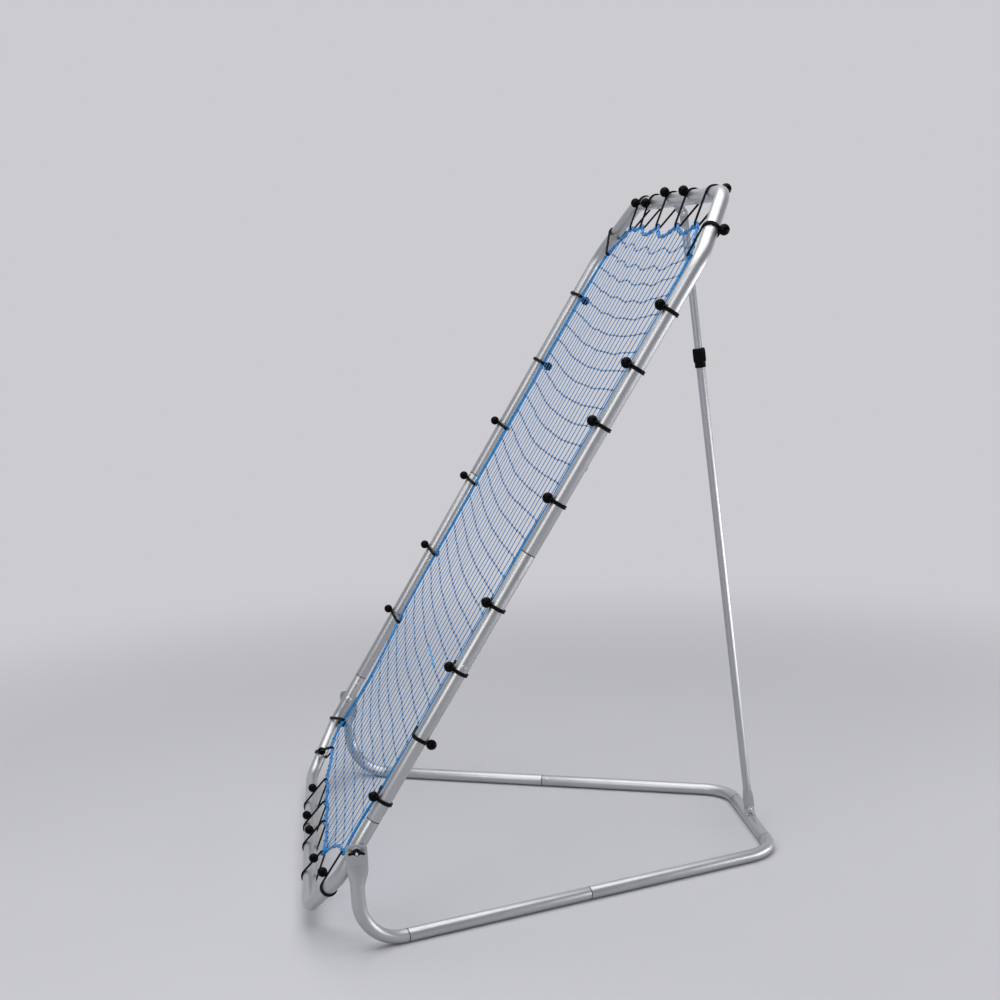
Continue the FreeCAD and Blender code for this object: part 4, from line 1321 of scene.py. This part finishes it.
@dataclass
class PivotSet:
    """Pivot bolt, spacer, washer and wing nut of one side."""

    layout: Layout
    head_in: float = 721.447
    spacer_in: float = 758.553
    washer_in: float = 764.853
    nut_in: float = 766.553
    bore: float = 4.1

    def build(self, finishes: Finishes) -> None:
        """Builds both sides."""
        level = self.layout.pivot_height
        spacers, washers = Skin(), Skin()
        for side in Side:
            axis = X * side.value

            def at(x: float, way: int = side.value) -> Vector:
                return Vector((x * way, 0, level))
            head = [(-5.0, 0), (-4.9, 3.0), (-4.2, 7.2), (-2.6, 10.0), (-0.6, 11.0), (0.0, 10.6),
                    (0.0, 4.0)]
            bolt = Skin().turned(eased(head, 0.8), at(self.head_in), axis)
            tip = self.nut_in + 17.0 - self.head_in
            thread = [(0.0, 3.9), (tip - 12, 3.9)]
            thread += [(tip - 12 + k / 2, 3.95 if k % 2 else 3.45) for k in range(1, 23)]
            bolt.turned(thread + [(tip - 0.4, 3.4), (tip, 3.0), (tip, 0)], at(self.head_in), axis)
            bolt.build(f"pivot_bolt_bright_{side.word}", finishes.zinc, Body.BASE.value,
                       [f"pivot_bolt_{side.word}"])
            for skin, place, size, thick in ((spacers, self.spacer_in, 12.0, 1.4),
                                             (washers, self.washer_in, 13.5, 1.5)):
                disc = [(0, self.bore), (0, size), (thick, size), (thick, self.bore)]
                skin.turned(eased(disc, 0.3), at(place), axis)
            node = f"wing_nut_{side.word}"
            self.wing_nut(at(self.nut_in), side).build(
                f"wing_nut_black_{side.word}", finishes.black, node, [node])
        spacers.build("spacers", finishes.black, Body.BASE.value, ["pivot_spacers"])
        washers.build("washers", finishes.zinc, Body.BASE.value, ["pivot_washers"])

    def wing_nut(self, base: Vector, side: Side) -> Skin:
        """Moulded nut with two rounded wings."""
        axis = X * side.value
        hub = [(0.0, 4.15), (0.0, 10.2), (3.0, 10.0), (6.0, 8.4), (11.0, 7.4), (12.6, 6.4), (13.0, 4.15)]
        skin = Skin().turned(eased(hub, 0.9, 4), base, axis)
        for way in (1, -1):
            line = [(7.0, 5.0), (8.0, 10.5), (10.0, 15.0), (12.5, 17.8), (15.5, 18.4)]
            middle = [base + axis * a + Y * (way * b) for a, b in line]
            rows = []
            path = smooth_line(middle, 4)
            sizes = [(4.3, 5.6), (4.1, 5.2), (3.7, 4.8), (3.3, 4.4), (2.9, 3.8)]
            for k, point in enumerate(path):
                t = k / (len(path) - 1) * (len(sizes) - 1)
                low = min(int(t), len(sizes) - 2)
                thick, wide = (mix(sizes[low][n], sizes[low + 1][n], t - low) for n in (0, 1))
                run = unit(path[min(k + 1, len(path) - 1)] - path[max(k - 1, 0)])
                flank = run.cross(Z)
                rows.append([point + flank * (wide * math.cos(a)) + Z * (thick * math.sin(a))
                             for a in turns(20)])
            run = unit(path[-1] - path[-2])
            for reach, share in ((1.2, 0.85), (2.1, 0.6), (2.6, 0.25)):
                last = rows[len(path) - 1]
                rows.append([path[-1] + (p - path[-1]) * share + run * reach for p in last])
            skin.rings(rows)
        return skin


# Strut

@dataclass
class Strut:
    """Telescopic strut with its twist collar and both brackets."""

    layout: Layout
    foot_y: float = 1217.7
    foot_z: float = 50.0
    bar_level: float = 18.353
    outer: float = 12.4
    inner: float = 10.9
    outer_top: float = 1392.0
    inner_bottom: float = 1090.0
    hollow_bottom: float = 870.0
    collar: Triple = (1349.0, 1365.0, 1402.0)
    slack: float = 0.15
    rib_depths: tuple[float, ...] = (0.0, 0.045, 0.065, 0.045)
    pin_back: float = 18.5
    pin_drop: float = 32.0
    slot: tuple[float, float] = (8.2, 4.0)
    saddle: float = 19.1
    sheet: float = 2.5
    fullness: tuple[float, float] = (2.0, 1.15)

    def __post_init__(self) -> None:
        """Works out the strut's line."""
        lay = self.layout
        self.top_bar = lay.on_frame(0, lay.length)
        self.pin = self.top_bar + Vector((0, self.pin_back, -self.pin_drop))
        self.foot = Vector((0, self.foot_y, self.foot_z))
        run = unit(self.pin - self.foot)
        across = Vector((0, -run.z, run.y))
        end = self.pin - across * (self.slot[0] / 2) - run * (self.slot[1] / 2)
        self.up = unit(end - self.foot)
        self.across = self.up.cross(X)
        self.reach = (end - self.foot).length

    def at(self, along: float) -> Vector:
        """Point on the strut's line."""
        return self.foot + self.up * along

    def pressed(self, along: float, width: float, thick: float, share: float,
                radius: float) -> list[Vector]:
        """Section of an end between flat (share 1) and round (share 0)."""
        spots = [pressed_spot(t, radius, width, thick, share, self.fullness) for t in turns(SIDES)]
        return [self.at(along) + X * through + self.across * across for through, across in spots]

    def end(self, tip: float, way: int, flat: float, taper: float, width: float, thick: float,
            radius: float) -> list[list[Vector]]:
        """Sections of a pressed end from its rounded tip to the round tube."""
        rows = []
        for k in range(10):
            turn = math.radians(mix(10, 90, k / 9))
            rows.append(self.pressed(tip + way * width / 2 * (1 - math.cos(turn)),
                                     thick + (width - thick) * math.sin(turn), thick, 1.0, radius))
        for k in range(15):
            t = k / 14
            share = 1 - t * t * (3 - 2 * t)
            rows.append(self.pressed(tip + way * (flat + taper * t), mix(2 * radius, width, share),
                                     thick, share, radius))
        return rows

    def tubes(self, finishes: Finishes) -> None:
        """Lower tube with its foot, upper tube with its head."""
        lower = self.end(-9.0, 1, 45.0, 62.0, 33.0, 6.0, self.outer)
        bore = self.inner + self.slack
        lower += [ring(self.at(along), self.up, X, radius) for along, radius in (
            (self.outer_top - 0.6, self.outer), (self.outer_top, self.outer - 0.5),
            (self.outer_top, bore), (self.hollow_bottom, bore))]
        Skin().rings(lower, gauge=GAUGE).build(
            "strut_lower_smooth", finishes.tube, Body.STRUT_LOWER.value, ["strut_lower_tube"])
        upper = self.end(self.reach + 9.5, -1, 33.5, 40.0, 23.0, 5.0, self.inner)
        upper += [ring(self.at(self.inner_bottom), self.up, X, self.inner)]
        Skin().rings(upper, gauge=GAUGE).build(
            "strut_upper_smooth", finishes.tube, Body.STRUT_UPPER.value, ["strut_upper_tube"])

    def grip(self, finishes: Finishes) -> None:
        """Twist collar with a plain lip and a ribbed grip."""
        low, step, top = self.collar
        profile = eased([(low, 12.6), (low, 15.5), (step - 1.5, 15.5), (step, 17.6), (step + 4, 18.0),
                         (top - 5, 18.0), (top, 16.2), (top, 11.1)], 0.9, 3)
        fine = []
        for (a, r), (b, q) in zip(profile, profile[1:]):
            count = max(1, int(abs(b - a) / 3))
            fine += [(mix(a, b, k / count), mix(r, q, k / count)) for k in range(count)]
        rows = []
        for along, radius in fine + [profile[-1]]:
            centre = self.at(along)
            circle = ring(centre, self.up, X, radius, 2 * SIDES)
            ribbed = min(held((along - step - 2) / 3), held((top - 4 - along) / 3))
            if radius > 14:
                depths = self.rib_depths * (len(circle) // len(self.rib_depths))
                circle = [centre + (p - centre) * (1 - ribbed * depth)
                          for depth, p in zip(depths, circle)]
            rows.append(circle)
        Skin().rings(rows).build("grip_collar", finishes.black, Body.COLLAR.value, ["twist_collar"])

    def bracket(self, bar: Vector, pin: Vector, gap: float, width: float, length: float) -> Skin:
        """Saddle on a bar with two ears round a pin."""
        to_pin = unit(pin - bar)
        side = X.cross(to_pin)
        inner, thick, end = self.saddle, self.sheet, X * (length / 2)
        half = math.asin(width / 2 / (inner + thick))
        skin, rows = Skin(), []
        for k in range(25):
            t = mix(-half, half, k / 24)
            way = side * math.sin(t) + to_pin * math.cos(t)
            a, b = bar + way * inner, bar + way * (inner + thick)
            rows.append([a - end, b - end, b + end, a + end])
        skin.rings(rows, gauge=GAUGE)
        crown = [pin + (side * math.cos(t) + to_pin * math.sin(t)) * (width / 2) for t in turns(36)[:19]]
        base = bar + to_pin * (inner * math.cos(half) + 0.4)
        shape = [base + side * (width / 2)] + crown + [base - side * (width / 2)]
        for near in (gap, -gap - thick):
            skin.plate([p + X * near for p in shape], X * thick)
        return skin

    def cross_bolt(self, pin: Vector, face: float, radius: float) -> Skin:
        """Bolt across the ears with a domed head and a six-sided nut."""
        head, nut = radius * 0.7, radius * 0.9
        end = -face - nut - 2.0
        profile = [(end, 0), (end, radius * 0.85), (end + 0.6, radius),
                   (face, radius), (face, radius * 1.8), (face + head * 0.55, radius * 1.7),
                   (face + head, radius * 1.1), (face + head * 1.05, 0)]
        skin = Skin().turned(eased(profile, 0.5), pin, X)
        corners = [t + math.pi / 6 for t in turns(6)]
        hexagon = [pin - X * face + (Y * math.cos(t) + Z * math.sin(t)) * (radius * 1.85)
                   for t in corners]
        return skin.plate(hexagon, X * -nut, 0.5)

    def build(self, finishes: Finishes) -> None:
        """Builds tubes, collar, brackets and bolts."""
        self.tubes(finishes)
        self.grip(finishes)
        bar = Vector((0, self.layout.rear_bar_y, self.bar_level))
        for name, node, centre, pin, gap, width, length, radius, body in (
                ("foot", "strut_foot_bolt", bar, self.foot,
                 3.4, 31.0, 34.0, 4.0, Body.BASE),
                ("head", "strut_head_pin", self.top_bar, self.pin,
                 2.9, 24.0, 30.0, 3.0, Body.NET_FRAME)):
            self.bracket(centre, pin, gap, width, length).build(
                f"{name}_bracket", finishes.zinc, body.value, [f"strut_{name}_bracket"])
            self.cross_bolt(pin, gap + self.sheet + 0.2, radius).build(
                f"{name}_cross_bolt", finishes.zinc, body.value, [node])


# Studio

@dataclass
class Studio:
    """Floor, soft lights and camera; lengths here are in metres."""

    lens: float = 58.479
    shift: tuple[float, float] = (-0.01664, 0.29202)
    eye: Triple = (4.66192, 0.01752, 1.73914)
    yaw: float = -5.82
    pitch: float = 18.67
    roll: float = -1.82
    air_colour: Triple = (0.9, 0.92, 1.0)
    air_strength: float = 0.2
    end_colour: Triple = (0.95, 0.945, 1.0)
    end_strength: float = 0.36

    def floor(self) -> None:
        """Pale floor that curves up far behind."""
        mesh = bpy.data.meshes.new("studio_floor")
        profile = [(12.0, 0.0), (-5.0, 0.0)]
        profile += [(-5.0 - 3 * math.sin(t), 3 - 3 * math.cos(t)) for t in
                    (math.radians(6 * k) for k in range(1, 16))] + [(-8.0, 14.0)]
        points = [(x, y, z) for x, z in profile for y in (-16.0, 16.0)]
        faces = [(2 * k, 2 * k + 1, 2 * k + 3, 2 * k + 2) for k in range(len(profile) - 1)]
        mesh.from_pydata(points, [], faces)
        mesh.shade_smooth()
        mesh.materials.append(StudioFloor().make())
        made = bpy.data.objects.new("studio_floor", mesh)
        bpy.context.scene.collection.objects.link(made)

    def light(self, name: str, place: Sequence[float], aim: Sequence[float], size: Sequence[float],
              power: float) -> None:
        """Large soft lamp aimed at a point."""
        data = bpy.data.lights.new(name, "AREA")
        data.shape, data.size, data.size_y, data.energy = "RECTANGLE", size[0], size[1], power
        made = bpy.data.objects.new(name, data)
        made.location = place
        made.rotation_euler = (Vector(aim) - Vector(place)).to_track_quat("-Z", "Y").to_euler()
        bpy.context.scene.collection.objects.link(made)

    def air(self) -> bpy.types.World:
        """Soft light from all round, with a pale grey wherever the studio's end is seen."""
        world = bpy.data.worlds.new("studio_air")
        world.use_nodes = True
        tree = world.node_tree
        soft, wall = tree.nodes["Background"], tree.nodes.new("ShaderNodeBackground")
        for node, colour, strength in ((soft, self.air_colour, self.air_strength),
                                       (wall, self.end_colour, self.end_strength)):
            node.inputs["Color"].default_value = (*colour, 1)
            node.inputs["Strength"].default_value = strength
        both = tree.nodes.new("ShaderNodeMixShader")
        tree.links.new(seen_rays(tree), both.inputs[0])
        tree.links.new(soft.outputs[0], both.inputs[1])
        tree.links.new(wall.outputs[0], both.inputs[2])
        tree.links.new(both.outputs[0], tree.nodes["World Output"].inputs["Surface"])
        return world

    def camera(self) -> None:
        """Camera of the photograph."""
        data = bpy.data.cameras.new("camera")
        data.sensor_width, data.lens = 36.0, self.lens
        data.shift_x, data.shift_y = self.shift
        data.clip_end = 60.0
        yaw, pitch, roll = (math.radians(a) for a in (self.yaw, self.pitch, self.roll))
        level = Vector((-math.cos(yaw), -math.sin(yaw), 0))
        ahead = level * math.cos(pitch) - Z * math.sin(pitch)
        right0 = Vector((-math.sin(yaw), math.cos(yaw), 0))
        up0 = level * math.sin(pitch) + Z * math.cos(pitch)
        right = right0 * math.cos(roll) + up0 * math.sin(roll)
        up = up0 * math.cos(roll) - right0 * math.sin(roll)
        matrix = Matrix((right, up, -ahead)).transposed().to_4x4()
        matrix.translation = Vector(self.eye) + FORWARD * MM
        made = bpy.data.objects.new("camera", data)
        made.matrix_world = matrix
        bpy.context.scene.collection.objects.link(made)
        bpy.context.scene.camera = made

    def build(self) -> None:
        """Builds floor, lights, world and camera."""
        scene = bpy.context.scene
        scene.view_settings.view_transform = "Standard"
        self.floor()
        self.light("overhead", (0.3, -0.4, 5.2), (0, 0, 0.6), (6.0, 6.0), 255)
        self.light("front_left", (4.4, -3.7, 3.2), (0, -0.2, 0.9), (2.4, 3.4), 75)
        self.light("low_right", (0.8, 3.4, 0.35), (0.2, 0.3, 1.3), (3.6, 1.5), 62)
        scene.world = self.air()
        self.camera()


def main() -> None:
    """Builds every sub-assembly in order."""
    logging.basicConfig(level=logging.INFO, format="%(message)s")
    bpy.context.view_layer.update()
    finishes, layout = Finishes(), Layout()
    FrameTubes(layout).build(finishes)
    rope = EdgeTies(layout).build(finishes)
    KnottedNet(layout).build(finishes, rope)
    FloorBase(layout).build(finishes)
    PivotSet(layout).build(finishes)
    Strut(layout).build(finishes)
    Studio().build()


if __name__ == "__main__":
    main()
